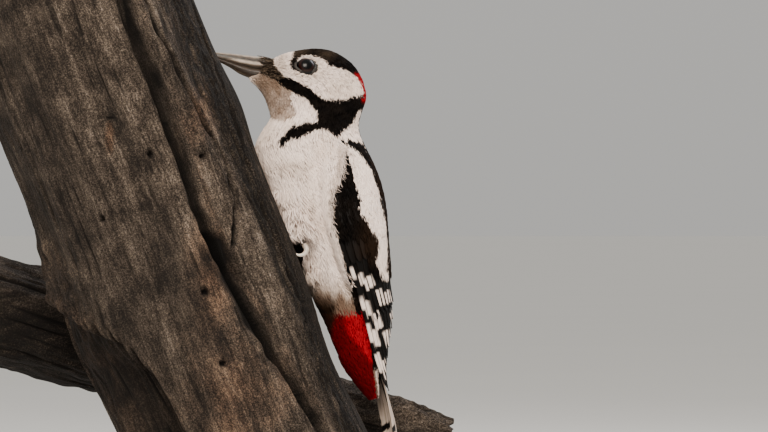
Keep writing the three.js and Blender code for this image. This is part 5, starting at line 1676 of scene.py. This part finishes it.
@dataclass
class Tail:
    """The stiff tail: twelve pointed vanes that lean on the trunk, the middle pair longest."""

    form: BirdForm
    line: tuple = ((33.2, 37.0), (36.2, 25.0), (40.0, 13.0), (43.0, 2.0), (43.6, -7.0), (41.8, -14.0), (38.6, -19.5))
    pairs: int = 6
    half_width: float = 12.3

    def place(self, pair: Array, side: Array) -> Callable:
        """Where points of the tail's vanes lie: beside the line, spread towards the tip, arched across."""
        trunk = self.form.trunk
        line = trunk.in_plane(*np.array(self.line).T)
        reach = 1 - 0.04 * pair - 0.015 * pair**2

        def at(t: Array, across: Array, lift: Array) -> Array:
            """Points at shares of the feathers' length, millimetres across them and over them."""
            share = 0.02 + t * (reach[:, None, None] - 0.02)
            spread = mix(0.22, 1.0, np.sin(np.pi / 2 * np.minimum(share * 1.15, 1)))
            offset = ((pair + 0.3) / self.pairs)[:, None, None]
            lateral = side[:, None, None] * (offset * (self.half_width - 1) * spread + across)
            u = share * (len(line) - 1)
            tangent = unit(catmull_rom(line, u + 0.02) - catmull_rom(line, u - 0.02))
            dorsal = unit(np.cross(trunk.bird_left, tangent))
            dorsal = dorsal * np.sign(dorsal[..., :1])
            rise = -0.045 * lateral**2 * np.minimum(1, share * 2) - 0.4 * pair[:, None, None] * share + lift
            return catmull_rom(line, u) + trunk.bird_left * lateral[..., None] + dorsal * rise[..., None]

        return at

    def build(self) -> None:
        """Adds the tail's vanes."""
        rng = np.random.default_rng(301)
        pair = np.tile(np.arange(self.pairs), 2)
        side = np.repeat([1.0, -1.0], self.pairs)
        number = pair[:, None, None]

        def paint(points: Array, t: Array, web: Array) -> Array:
            """Black middle feathers; the others are greyish white in long streaks, the outer ones barred."""
            dark = blend(Tint.BLACK.rgb, Tint.SOOT.rgb, 0.5 * np.abs(web))
            streak = noise(2.6 * web + 3.0 * number, 2.0 * t + 0 * web, 61)
            pale = blend(Tint.CREAM.rgb, Tint.BUFF.rgb, 0.1 + 0.95 * streak)
            height = points[..., 2] - 4.0 + 1.2 * web + 0.5 * number
            barred = step(np.abs(height), 1.2, 1.8) * step(np.abs(height + 11.0), 2.0, 2.6)
            white = np.where(number >= 3, barred, (number >= 2) * 1.0)
            return blend(dark, pale, white + 0 * t)

        vanes = Vanes(self.place(pair.astype(float), side), 5.0 - 0.25 * pair, 0.5, 0.16, 0.15, 0.72)
        shape = vanes.build(paint, lambda t, n: (0.05 + 0.9 * t, (n + 1) / 13), rng)
        shape.points = self.form.trunk.push_out(shape.points, 0.15)
        add_piece("tail_vanes", shape, VANE, "tail_feather", "tail")


# --- feet ---


@dataclass(frozen=True)
class Toe:
    """A toe along the bark: angles round the trunk, heights, and the air under it."""

    name: str
    angles: tuple[float, float, float]
    heights: tuple[float, float, float]
    lifts: tuple[float, float, float] = (0.5, 1.8, 2.6)


@dataclass
class Feet:
    """Two climbing feet: a pad, four scaled toes, four hooked claws, and the shank's bare part."""

    form: BirdForm
    toes: tuple[Toe, ...] = (Toe("inner", (11.5, 12.5, 13.2), (90.5, 96.0, 101.0)),
        Toe("middle", (10.0, 9.5, 9.3), (90.5, 97.0, 102.5)),
        Toe("outer", (7.0, 2.0, 0.5), (88.3, 89.0, 85.2), (0.6, 2.6, 3.6)),
        Toe("hind", (11.2, 12.0, 12.5), (86.5, 82.0, 78.0)))
    toe_radius: float = 1.4
    claw_reach: float = 5.6

    def toe_line(self, toe: Toe) -> Array:
        """The toe's joints."""
        trunk = self.form.trunk
        return np.array([trunk.point(a, z, self.toe_radius + lift)
            for a, z, lift in zip(toe.angles, toe.heights, toe.lifts)])

    def skin(self) -> Shape:
        """Pad, toes and shank as closed scaled tubes that run into each other.

        Scutes lift the upper side of a toe every 0.9 mm; joints swell it.
        """
        trunk = self.form.trunk
        pad = trunk.point(11.0, 89.0, 2.3)
        parts = []
        for toe in self.toes:
            steps = np.linspace(0, 3, 56)
            path = catmull_rom(np.vstack([pad, self.toe_line(toe)]), steps)
            radii = catmull_rom(np.array([[1.5], [1.4], [1.26], [1.15]]), steps)[:, 0]
            radii = radii * (1 + 0.09 * np.cos(2 * np.pi * steps)) * np.where(steps > 2.9, 0.86, 1.0)
            scutes = 1 + 0.05 * np.abs(np.sin(steps * 14.0))[:, None] * np.ones((1, 20))
            parts.append(tube(path, radii, 20, scutes))
        long = np.linspace(-1, 1, 14)
        path = pad + np.array([0.0, 0.25, 1.0])[None] * (long * 3.0)[:, None]
        parts.append(tube(path, 2.0 * np.sqrt(1.03 - long**2), 20))
        knee = self.form.body(np.array(19.9), np.array(132.0), np.array(-3.4))
        steps = np.linspace(0, 1, 18)
        path = mix(trunk.point(11.0, 89.0, 4.4), mix(pad, knee, 0.55), steps[:, None])
        scutes = 1 + 0.04 * np.abs(np.sin(steps * 18.0))[:, None] * np.ones((1, 20))
        parts.append(tube(path, mix(1.6, 2.4, steps), 20, scutes))
        return joined(parts)

    def claw(self, toe: Toe) -> Shape:
        """The claw: a strongly hooked cone, deeper than wide, with a groove along either side."""
        line = self.toe_line(toe)
        bark = self.form.trunk.point(toe.angles[2], toe.heights[2])
        away = unit(line[2] - bark)
        ahead = line[2] - line[1]
        ahead = unit(ahead - away * (ahead @ away))
        start = line[2] + ahead * (0.3 + self.toe_radius * 0.3)
        hook = np.array([[0.0, 0.0], [0.42, 1.1], [0.82, 0.0], [0.92, -2.4], [0.68, -4.7]])
        path = start + ahead * (hook[:, :1] * self.claw_reach) + away * hook[:, 1:]
        steps = np.linspace(0, 4, 44)
        radii = catmull_rom(np.array([[1.25], [1.2], [0.95], [0.6], [0.14]]), steps)[:, 0]
        turn = np.arange(20) * 2 * np.pi / 20
        groove = 1 - 0.08 * bell(np.cos(turn), 0.25)[None] * np.ones((44, 1))
        shape = tube(catmull_rom(path, steps), radii, 20, groove)
        pale = mix(0.25, 0.75, steps / 4)
        shape.marks = {"Pale": np.append(np.repeat(pale, 20), [pale[0], pale[-1]])}
        return shape

    def build(self) -> None:
        """Adds both feet and their claws."""
        leather = ScaledSkin("foot_scaled_skin")
        horn = Horn("claw_horn_keratin", "#5a5046", "#a89b8c", "#e0d4c6", roughness=0.36, streak=0.3)
        trunk = self.form.trunk
        add_pair("foot_skin_*", self.skin(), trunk, leather, "foot_scale", "foot_*")
        for toe in self.toes:
            add_pair(f"claw_horn_*_{toe.name}", self.claw(toe), trunk, horn, "claw_horn", f"claw_*_{toe.name}")


# --- perch and stand ---


@dataclass
class Perch:
    """The cut length of weathered trunk, with its long cracks, decay and borings, and the broken bough.

    Cracks are rows of X, Z and half width in degrees. Borings are X, Z and radius.
    """

    form: BirdForm
    front_columns: int = 400
    back_columns: int = 108
    cracks: tuple = (((-70.0, 194.4, 1.0), (-62.0, 176.9, 1.3), (-56.3, 167.0, 1.1), (-47.8, 150.3, 1.5),
        (-41.8, 137.7, 1.2), (-33.4, 126.5, 1.1), (-29.5, 111.6, 1.3), (-26.0, 98.1, 1.1), (-25.0, 84.2, 1.2)),
        ((-33.0, 88.0, 4.0), (-30.5, 78.0, 6.5), (-21.5, 59.0, 6.8), (-14.5, 45.0, 4.8), (-9.5, 36.0, 3.6),
        (-3.2, 29.6, 2.5), (5.8, 16.9, 2.0), (12.6, 5.0, 1.5), (16.0, -12.0, 1.0)),
        ((-3.6, 31.0, 0.5), (5.0, 18.4, 1.2), (9.9, 4.5, 1.6), (12.0, -10.0, 1.0)),
        ((-50.0, 200.0, 0.7), (-42.0, 178.0, 1.5), (-33.0, 151.0, 1.1), (-25.0, 128.0, 1.7), (-15.0, 99.0, 1.0),
        (-6.0, 76.0, 1.2), (4.0, 52.0, 0.8)))
    borings: tuple = ((-64.3, 124.2, 1.4), (-41.3, 123.4, 1.3), (-40.5, 64.0, 1.6), (-32.8, 32.8, 1.5),
        (-86.0, 96.0, 1.0))
    splinter: tuple = ((-120.0, 62.0), (-84.0, 46.0), (-70.7, 36.0), (-63.0, 27.9), (-56.2, 16.7), (-51.7, 7.7),
        (-49.5, 0.0), (-44.0, -18.0))

    def angle_at(self, x: Array, z: Array) -> Array:
        """The angle at which the trunk's face towards the bird's left has this X and Z."""
        trunk = self.form.trunk
        reach = (x - trunk.foot_x + z * math.tan(trunk.lean)) * math.cos(trunk.lean) / trunk.radius
        return -np.degrees(np.arccos(np.clip(reach, -0.999, 0.999)))

    def cracked(self, angle: Array, z: Array, front: Array) -> tuple[Array, Array]:
        """Depth of the narrow cracks, from 0 to 1, and degrees from the second one.

        Each is a bell across its path; the path wanders with a noise and the bell fades at both ends.
        """
        deep = np.zeros_like(z)
        for number, path in enumerate(self.cracks):
            x_at, z_at, half_at = np.array(path)[::-1].T
            middle = self.angle_at(np.interp(z, z_at, x_at), z)
            middle = middle + 2.2 * (noise(z / 7.0, 0 * z, 80 + number) - 0.5)
            off = half_turn(angle - middle)
            half = np.interp(z, z_at, half_at) * mix(0.6, 1.4, noise(z / 5.0, 0 * z, 90 + number))
            ends = step(z, z_at[0] - 4, z_at[0] + 2) * (1 - step(z, z_at[-1] - 2, z_at[-1] + 4))
            deep = np.maximum(deep, bell(off, half, 4) * ends * front)
            if number == 0:
                past = off
        return deep, past

    def relief(self, angle: Array, z: Array) -> tuple[Array, dict[str, Array]]:
        """How far the wood stands off the trunk's form, and the marks that its finish reads.

        Fibres are long noises, 1, 2.5 and 7 mm wide. The fissure is cut deeper on its left, where it is
        painted darkest as shade; its other wall is smooth and brown. Below the splinter's edge the wood has broken
        away.
        """
        trunk = self.form.trunk
        round_mm = np.radians(angle) * trunk.radius
        wander = 6.0 * (noise(z / 40.0, round_mm / 60.0, 41) - 0.5)
        c = round_mm + wander
        fine = noise(c / 0.9, z / 12.0, 42) - 0.5
        middle = noise(c / 2.4, z / 26.0, 43) - 0.5
        broad = noise(c / 7.0, z / 55.0, 44) - 0.5
        pitted = noise(c / 1.5, z / 3.0, 56) - 0.5
        gaps = step(noise(c / 1.7, z / 26.0, 45), 0.76, 0.97)
        base = trunk.point(angle, z)
        x = base[..., 0]
        front = (base[..., 1] < 0).astype(float)
        from_form = half_turn(angle - trunk.fissure_angle(z))
        shifted = np.interp(z, [100.0, 118.0, 150.0, 194.0], [0.0, 1.5, 3.0, 3.8])
        off = from_form - shifted + 1.0 * (noise(z / 6.0, 0 * z, 46) - 0.5)
        moved = bell(off, 3.6, 6) - bell(from_form, trunk.fissure_half, 4)
        trough = step(off, -3.9, -3.3) * (1 - step(off, 3.2, 4.0))
        deepest = step(off, -3.9, -3.4) * (1 - step(off, -1.2, 0.2))
        wall = step(off, -1.0, 0.0) * (1 - step(off, 3.2, 4.2))
        crack, past_crack = self.cracked(angle, z, front)
        edge_x, edge_z = np.array(self.splinter).T
        edge = np.interp(x, edge_x, edge_z) + 6.0 * (noise(c / 1.6, 0 * z, 49) - 0.5)
        left_of = step(-off, 3.0, 9.0)
        below = edge - z
        hollow = step(below, 0.0, 2.2) * left_of * front * (1 - step(below, 22.0, 40.0))
        rim = bell(below + 2.2, 2.4) * left_of * front * step(-x, 46.0, 54.0)
        flakes = step(-x - 0.41 * z, 62.0, 76.0) * step(104.0 - z, 0.0, 30.0) * front
        flaky = flakes * (noise(c / 3.4, z / 5.5, 50) - 0.42)
        right = step(angle, -46.0, -30.0) * front
        crust = step(past_crack, 1.0, 6.0) * front * mix(0.35, 1.0, right)
        cover = noise(c / 3.2, z / 13.0, 51) + 0.5 * right - 0.2
        crust = crust * step(cover, 0.28, 0.6)
        knobs = right * (noise(c / 2.0, z / 4.5, 52) + 0.7 * noise(c / 1.0, z / 1.8, 53) - 0.85)
        pits = np.zeros_like(z)
        for px, pz, size in self.borings:
            pits = np.maximum(pits, step(size + 0.5 - np.hypot(x - px, z - pz), 0.0, 0.8) * front)
        scar = np.exp(-(((x + 82.0) / 2.6) ** 4) - ((z - 140.2) / 0.9) ** 2) * front
        streak = bell(x + 82.4, 2.2) * bell(z - 132.0, 7.5, 4) * front
        free = step(np.abs(half_turn(angle - trunk.bird_angle)), 22.0, 44.0)
        out = 0.5 * fine + 1.0 * middle + 1.4 * broad + 1.7 * knobs + 2.6 * flaky + 0.35 * pitted
        out = np.where(out > 0, out * free, out * mix(0.4, 1.0, free))
        out = out - trunk.fissure_depth * moved - 1.0 * trough
        out = out - 5.0 * deepest * mix(0.7, 1.1, noise(z / 14.0, 0 * z, 54))
        out = out - 3.8 * crack - 0.8 * gaps * free - 4.0 * hollow + 1.6 * rim - 3.0 * pits - 1.6 * scar - 0.5 * streak
        # Painted shade: the fissure's trough, cracks, gaps, the broken hollow, borings and the scar are painted dark
        # through Depth, a little less on the fissure's other wall.
        shade = 0.95 * trough + 0.9 * deepest + 1.1 * crack + 0.7 * gaps * free + 0.6 * hollow + pits + scar
        depth = np.clip(shade - 0.1 * wall * trough - 0.15 * fine, 0, 1)
        # Painted shade in the crevices between the knobs.
        depth = np.clip(depth + 0.8 * step(-knobs, 0.14, 0.34) * free, 0, 1)
        porous = np.exp(-((((x + 42.0) / 8.0) ** 2 + ((z - 142.0) / 16.0) ** 2))) * front
        patch = np.exp(-((((x + 38.0) / 13.0) ** 2 + ((z - 66.0) / 32.0) ** 2)))
        patch = patch + np.exp(-((((x + 24.0) / 27.0) ** 2 + ((z - 14.0) / 28.0) ** 2)))
        lip = bell(off - 6.5, 2.2) + 0.5 * bell(off + 5.0, 1.6)
        rot = 0.47 * patch * front + 0.3 * flakes + 0.2 * hollow + 0.16 * lip + 0.2 * rim
        rot = rot + 0.5 * porous + 0.75 * streak - 0.14 + (1 - front) * 0.3 * noise(c / 20.0, z / 30.0, 55)
        # Painted shade in the pits of the porous patch.
        depth = np.clip(depth + porous * step(noise(c / 1.0, z / 1.6, 57), 0.6, 0.85), 0, 1)
        # Painted shade: the trunk's far left, where the light falls off, is painted dark through Stain.
        far_left_shade = step(-angle, 84.0, 122.0) * front * mix(0.75, 1.0, noise(c / 6.0, z / 40.0, 59))
        stain = step(noise(c / 13.0, z / 70.0, 58) + 0.35 * broad, 0.42, 0.78)
        stain = np.maximum(0.9 * stain, far_left_shade) * (1 - wall) * (1 - bell(off - 9.5, 6.0, 4))
        marks = {"Depth": depth, "Rot": rot, "Moss": crust * (1 - trough), "Stain": 0.85 * stain}
        return out, marks | {"Sawn": 0 * z, "Ring": 0 * z}

    def trunk_shape(self) -> Shape:
        """The trunk: close columns on the side that is seen most, wider ones behind, and sawn ends.

        A sawn end is the last ring drawn in to the axis in steps, a little rough, with one drying crack.
        """
        trunk = self.form.trunk
        columns = np.concatenate([-180 + 180 * np.arange(self.front_columns) / self.front_columns,
            180 * np.arange(self.back_columns) / self.back_columns])
        levels = np.concatenate([np.linspace(trunk.bottom, -3, 14), np.linspace(-1.6, 196.4, 160), [198.4, trunk.top]])
        z, angle = np.meshgrid(levels, columns, indexing="ij")
        out, marks = self.relief(angle, z)
        radius = trunk.radius_at(angle, z) + out
        side = trunk.from_polar(angle, z, radius)
        end_shares = np.array([0.99, 0.93, 0.75, 0.5, 0.25])

        def end(row: int, way: float) -> tuple[Array, dict[str, Array]]:
            """One sawn end's rings and marks, in the order in which the skin runs."""
            share = end_shares[:, None] if way > 0 else end_shares[::-1, None]
            grown = radius[row][None] * share
            saw = 0.25 * way * (noise(grown * np.cos(np.radians(angle[row])) / 1.5, 0 * grown, 61) - 0.8)
            face = trunk.from_polar(angle[row][None] + 0 * grown, z[row][None] + saw, grown)
            ring = grown * (1 + 0.05 * np.sin(np.radians(angle[row]) * 2))
            split = bell(half_turn(angle[row] - 40 * way), 3.0) * step(grown, 8, 20)
            flat = {key: 0 * grown for key in marks}
            # The drying crack is painted dark through Depth, as shade.
            return face, flat | {"Depth": 0.9 * split, "Sawn": 1 + 0 * grown, "Ring": ring}

        low, low_marks = end(0, -1.0)
        high, high_marks = end(-1, 1.0)
        shape = solid(np.concatenate([low, side, high]))
        shape.marks = with_poles({key: np.concatenate([low_marks[key], marks[key], high_marks[key]]) for key in marks})
        return shape

    def bough_shape(self) -> Shape:
        """The bough: a crooked closed limb with long fibres, split and broken square at both ends."""
        ends = np.array([(-150, 52, 58), (-95, 54, 41), (-45, 55, 25), (0, 57, 10), (40, 59, -1), (64, 61, -8)], float)
        radii = np.array([[24.0], [23.0], [21.0], [18.0], [15.5], [13.0]])
        steps, sides = np.linspace(0, 5, 190), 160
        centre = catmull_rom(ends, steps)
        forward = unit(np.gradient(centre, axis=0))
        sideways = unit(np.cross(forward, [0.0, 0.0, 1.0]))
        upward = unit(np.cross(sideways, forward))
        turn = np.arange(sides)[None] * 2 * np.pi / sides
        u = steps[:, None] + 0 * turn
        degrees = np.degrees(turn) + 0 * u
        grown = catmull_rom(radii, steps) * (1 + 0.06 * np.sin(3 * turn + u * 2.4) + 0.04 * np.sin(5 * turn - u * 2.4))
        fibre = noise(degrees / 6.0, u * 2.2, 71, 60) - 0.5
        fine = noise(degrees / 2.25, u * 5.0, 72, 160) - 0.5
        knobs = noise(degrees / 9.0, u * 9.0, 77, 40) - 0.5
        gaps = step(noise(degrees / 4.5, u * 1.6, 73, 80), 0.72, 0.95)
        grown = grown + 1.1 * fibre + 0.6 * fine + 1.3 * knobs - 1.4 * gaps
        near_end = np.exp(-u / 0.1) - np.exp(-(5 - u) / 0.1)
        teeth = 5.0 * (noise(degrees / 9.0, 0 * u, 74, 40) - 0.5) * -near_end
        rings = (centre[:, None] + sideways[:, None] * (grown * np.cos(turn))[..., None]
            + upward[:, None] * (grown * np.sin(turn))[..., None] + forward[:, None] * teeth[..., None])
        shares = (0.9, 0.8, 0.6, 0.4, 0.2)

        def broken(row: int) -> list[Array]:
            """Rings of one broken end, drawn in to the middle in ragged steps."""
            inward = forward[row] * (1 if row == 0 else -1)
            parts = []
            for share in shares:
                deep = 5.0 * noise(degrees[:1] / 12.0, np.full((1, sides), share * 9), 75, 30)
                drawn = centre[row] + (rings[row] - centre[row]) * share
                parts.append(drawn + inward * (deep[0] * (1 - 0.4 * share))[:, None])
            return parts

        shaded = 0.5 * step(-rings[..., 0], 55.0, 75.0)
        rings = np.concatenate([broken(0)[::-1], rings, broken(-1)])
        ragged = np.full((len(shares), sides), 1.0) * noise(degrees[:1] / 7.0, 0 * degrees[:1], 78, 52)
        top = np.sin(turn) + 0 * u
        # Painted shade: the gaps between fibres, and the bough's left part, are painted dark through Depth.
        depth = np.clip(0.85 * gaps - 0.3 * fine + shaded, 0, 1)
        moss = (1 - step(top, -0.1, 0.55)) * 0.9
        zero = 0 * ragged
        marks = {"Depth": np.concatenate([0.5 * ragged, depth, 0.5 * ragged]),
            "Rot": np.concatenate([zero + 0.2, 0 * u - 0.1, zero + 0.2]), "Moss": np.concatenate([zero, moss, zero]),
            "Stain": np.concatenate([zero, 0.4 * (1 - step(top, 0.2, 0.8)), zero]),
            "Sawn": np.zeros((len(rings), sides)), "Ring": np.zeros((len(rings), sides))}
        shape = solid(rings)
        shape.marks = with_poles(marks)
        return shape

    def build(self) -> None:
        """Adds trunk and bough."""
        wood = WeatheredWood("weathered_dead_wood", lean=self.form.trunk.lean)
        limb = WeatheredWood("weathered_bough_wood", lean=math.radians(106))
        add_piece("perch_trunk_wood", self.trunk_shape(), wood, "bark", "perch_trunk")
        add_piece("perch_bough_wood", self.bough_shape(), limb, "bark")


@dataclass
class Stand:
    """A plain base of dark oak with eased edges, and two steel rods with collars."""

    trunk: TrunkForm
    x_range: tuple[float, float] = (-136.0, 44.0)
    half_width: float = 62.0
    corner: float = 12.0
    thickness: float = 10.0
    rod_length: float = 18.0
    rod_radius: float = 4.0
    rod_places: tuple[float, float] = (-36.0, 8.0)
    gap: float = 0.3

    def base(self) -> Shape:
        """A rounded rectangle drawn up through a worked edge: small ease below, round nose above."""
        corner_turns = np.radians(np.arange(0, 91, 7.5))
        cx, cy = (self.x_range[1] - self.x_range[0]) / 2 - self.corner, self.half_width - self.corner
        quarter = np.stack([np.cos(corner_turns), np.sin(corner_turns)], axis=-1)
        spots, normals = [], []
        for sx, sy, back in ((1, 1, 1), (-1, 1, -1), (-1, -1, 1), (1, -1, -1)):
            n = quarter[::back] * [sx, sy]
            spots.append(n * self.corner + [sx * cx, sy * cy])
            normals.append(n)
        outline, normal = np.concatenate(spots), np.concatenate(normals)
        profile = np.array([[-9.0, 0.0], [-1.2, 0.0], [-0.35, 0.25], [0.0, 0.9], [0.0, 5.4], [-0.5, 6.6], [-1.7, 7.0],
            [-1.9, 7.3], [-2.1, 8.4], [-2.9, 9.5], [-4.2, 9.92], [-5.5, 10.0], [-11.0, 10.0]])
        middle = np.array([sum(self.x_range) / 2, 0.0])
        flat = outline[None] + normal[None] * profile[:, None, :1] + middle
        height = np.broadcast_to(profile[:, 1:2], flat.shape[:2])[..., None]
        height = height + self.trunk.bottom - self.rod_length - self.thickness
        rings = np.concatenate([flat, height], axis=-1)
        low, high = (np.array([*middle, ring[0, 2]]) for ring in (rings[0], rings[-1]))
        inner = [mix(high, rings[-1], share)[None] for share in (0.75, 0.5, 0.25)]
        return solid(np.concatenate([rings, *inner]), low, high)

    def rod(self, x: float) -> Shape:
        """A turned rod: chamfered ends and a low collar where it stands on the base."""
        r, low, high = self.rod_radius, self.gap, self.rod_length - self.gap
        profile = np.array([[r - 0.5, low], [r, low + 0.4], [r, low + 1.9], [r - 0.25, low + 2.2],
            [r - 0.45, low + 2.5], [r - 0.45, high - 2.5], [r - 0.25, high - 2.2], [r, high - 1.9], [r, high - 0.4],
            [r - 0.5, high]])
        turn = np.arange(56) * 2 * np.pi / 56
        rings = np.stack([x + profile[:, :1] * np.cos(turn), profile[:, :1] * np.sin(turn),
            self.trunk.bottom - self.rod_length + profile[:, 1:] + 0 * turn], axis=-1)
        return solid(rings)

    def build(self) -> None:
        """Adds base and rods."""
        add_piece("base_oak", self.base(), OiledOak("fumed_oak_oiled"), "stand_wood", "stand_base")
        for number, x in enumerate(self.rod_places, start=1):
            steel = BrushedSteel("stainless_rod_brushed")
            add_piece(f"rod_steel_{number}", self.rod(x), steel, "stand_steel", f"stand_rod_{number}")


# --- studio ---


@dataclass(frozen=True)
class Studio:
    """A pale floor, a soft sky that meets it without a line, one large key light, and the camera."""

    floor_half: float = 40.0
    sky: str = "#e2e0dc"
    sky_strength: float = 0.66
    overhead: float = 1.38  # overhead sky against the horizon, which makes the lit floor match the horizon
    view_centre: tuple[float, float] = (37.8, 97.2)
    distance: float = 2520.0
    sensor: float = 36.0
    frame_width: float = 345.6

    def floor(self) -> None:
        """A wide plane at the height of the stand's underside."""
        z = float(to_row(BASE_LOW_CORNER)[2])
        h = self.floor_half
        mesh = bpy.data.meshes.new("studio_floor")
        mesh.from_pydata([(-h, -h, z), (h, -h, z), (h, h, z), (-h, h, z)], [], [(0, 1, 2, 3)])
        mesh.materials.append(PaintedFloor("studio_floor_paint").material())
        plane = bpy.data.objects.new("studio_floor", mesh)
        bpy.context.scene.collection.objects.link(plane)

    def world(self) -> None:
        """The sky: one colour, brighter overhead in step with height."""
        world = bpy.data.worlds.new("studio_sky")
        world.use_nodes = True
        tree = world.node_tree
        tree.nodes.clear()
        strength = {"Value": "apart.2", "To Min": self.sky_strength, "To Max": self.sky_strength * self.overhead}
        add_node(tree, "place", "TexCoord")
        add_node(tree, "apart", "SeparateXYZ", {0: "place.Generated"})
        add_node(tree, "level", "MapRange", strength)
        add_node(tree, "sky", "Background", {"Color": self.sky, "Strength": "level.0"})
        add_node(tree, "output", "OutputWorld", {"Surface": "sky.0"})
        bpy.context.scene.world = world

    def light(self, name: str, place: tuple, aim: tuple, size: float, power: float, colour: str) -> None:
        """A square area light, in metres from the row's origin, that looks at a point."""
        lamp = bpy.data.lights.new(name, "AREA")
        lamp.size = size
        lamp.energy = power
        lamp.color = linear(colour)[:3]
        piece = bpy.data.objects.new(name, lamp)
        piece.location = place
        piece.rotation_euler = (Vector(aim) - Vector(place)).to_track_quat("-Z", "Y").to_euler()
        bpy.context.scene.collection.objects.link(piece)

    def camera(self) -> None:
        """A long lens, level, square to the bird's middle line of sight along +Y."""
        lens = bpy.data.cameras.new("camera")
        lens.sensor_width = self.sensor
        lens.lens = self.sensor * self.distance / self.frame_width
        lens.clip_start, lens.clip_end = 0.1, 200.0
        piece = bpy.data.objects.new("camera", lens)
        x, z = self.view_centre
        piece.location = to_row(np.array([x, 20.0 - self.distance, z]))
        piece.rotation_euler = (math.pi / 2, 0.0, 0.0)
        bpy.context.scene.collection.objects.link(piece)
        bpy.context.scene.camera = piece

    def build(self) -> None:
        """Adds floor, sky, lights and camera."""
        self.floor()
        self.world()
        self.light("key", (-0.1, -1.15, 1.15), (0.0, 0.0, 0.14), 0.8, 41.0, "#fff4e6")
        self.light("rim", (0.8, 0.7, 0.9), (0.0, 0.0, 0.14), 0.6, 8.0, "#eef3ff")
        self.camera()


def main() -> None:
    """Builds the model piece by piece."""
    logging.basicConfig(level=logging.INFO, format="%(name)s: %(message)s")
    trunk = TrunkForm()
    form = BirdForm(trunk)
    markings = Markings(form)
    eyes = Eyes(form)
    Studio().build()
    Stand(trunk).build()
    Perch(form).build()
    Feet(form).build()
    Tail(form).build()
    Wings(form, markings).build()
    Body(form, markings, eyes).build()
    Bill(trunk).build()
    eyes.build()


if __name__ == "__main__":
    main()
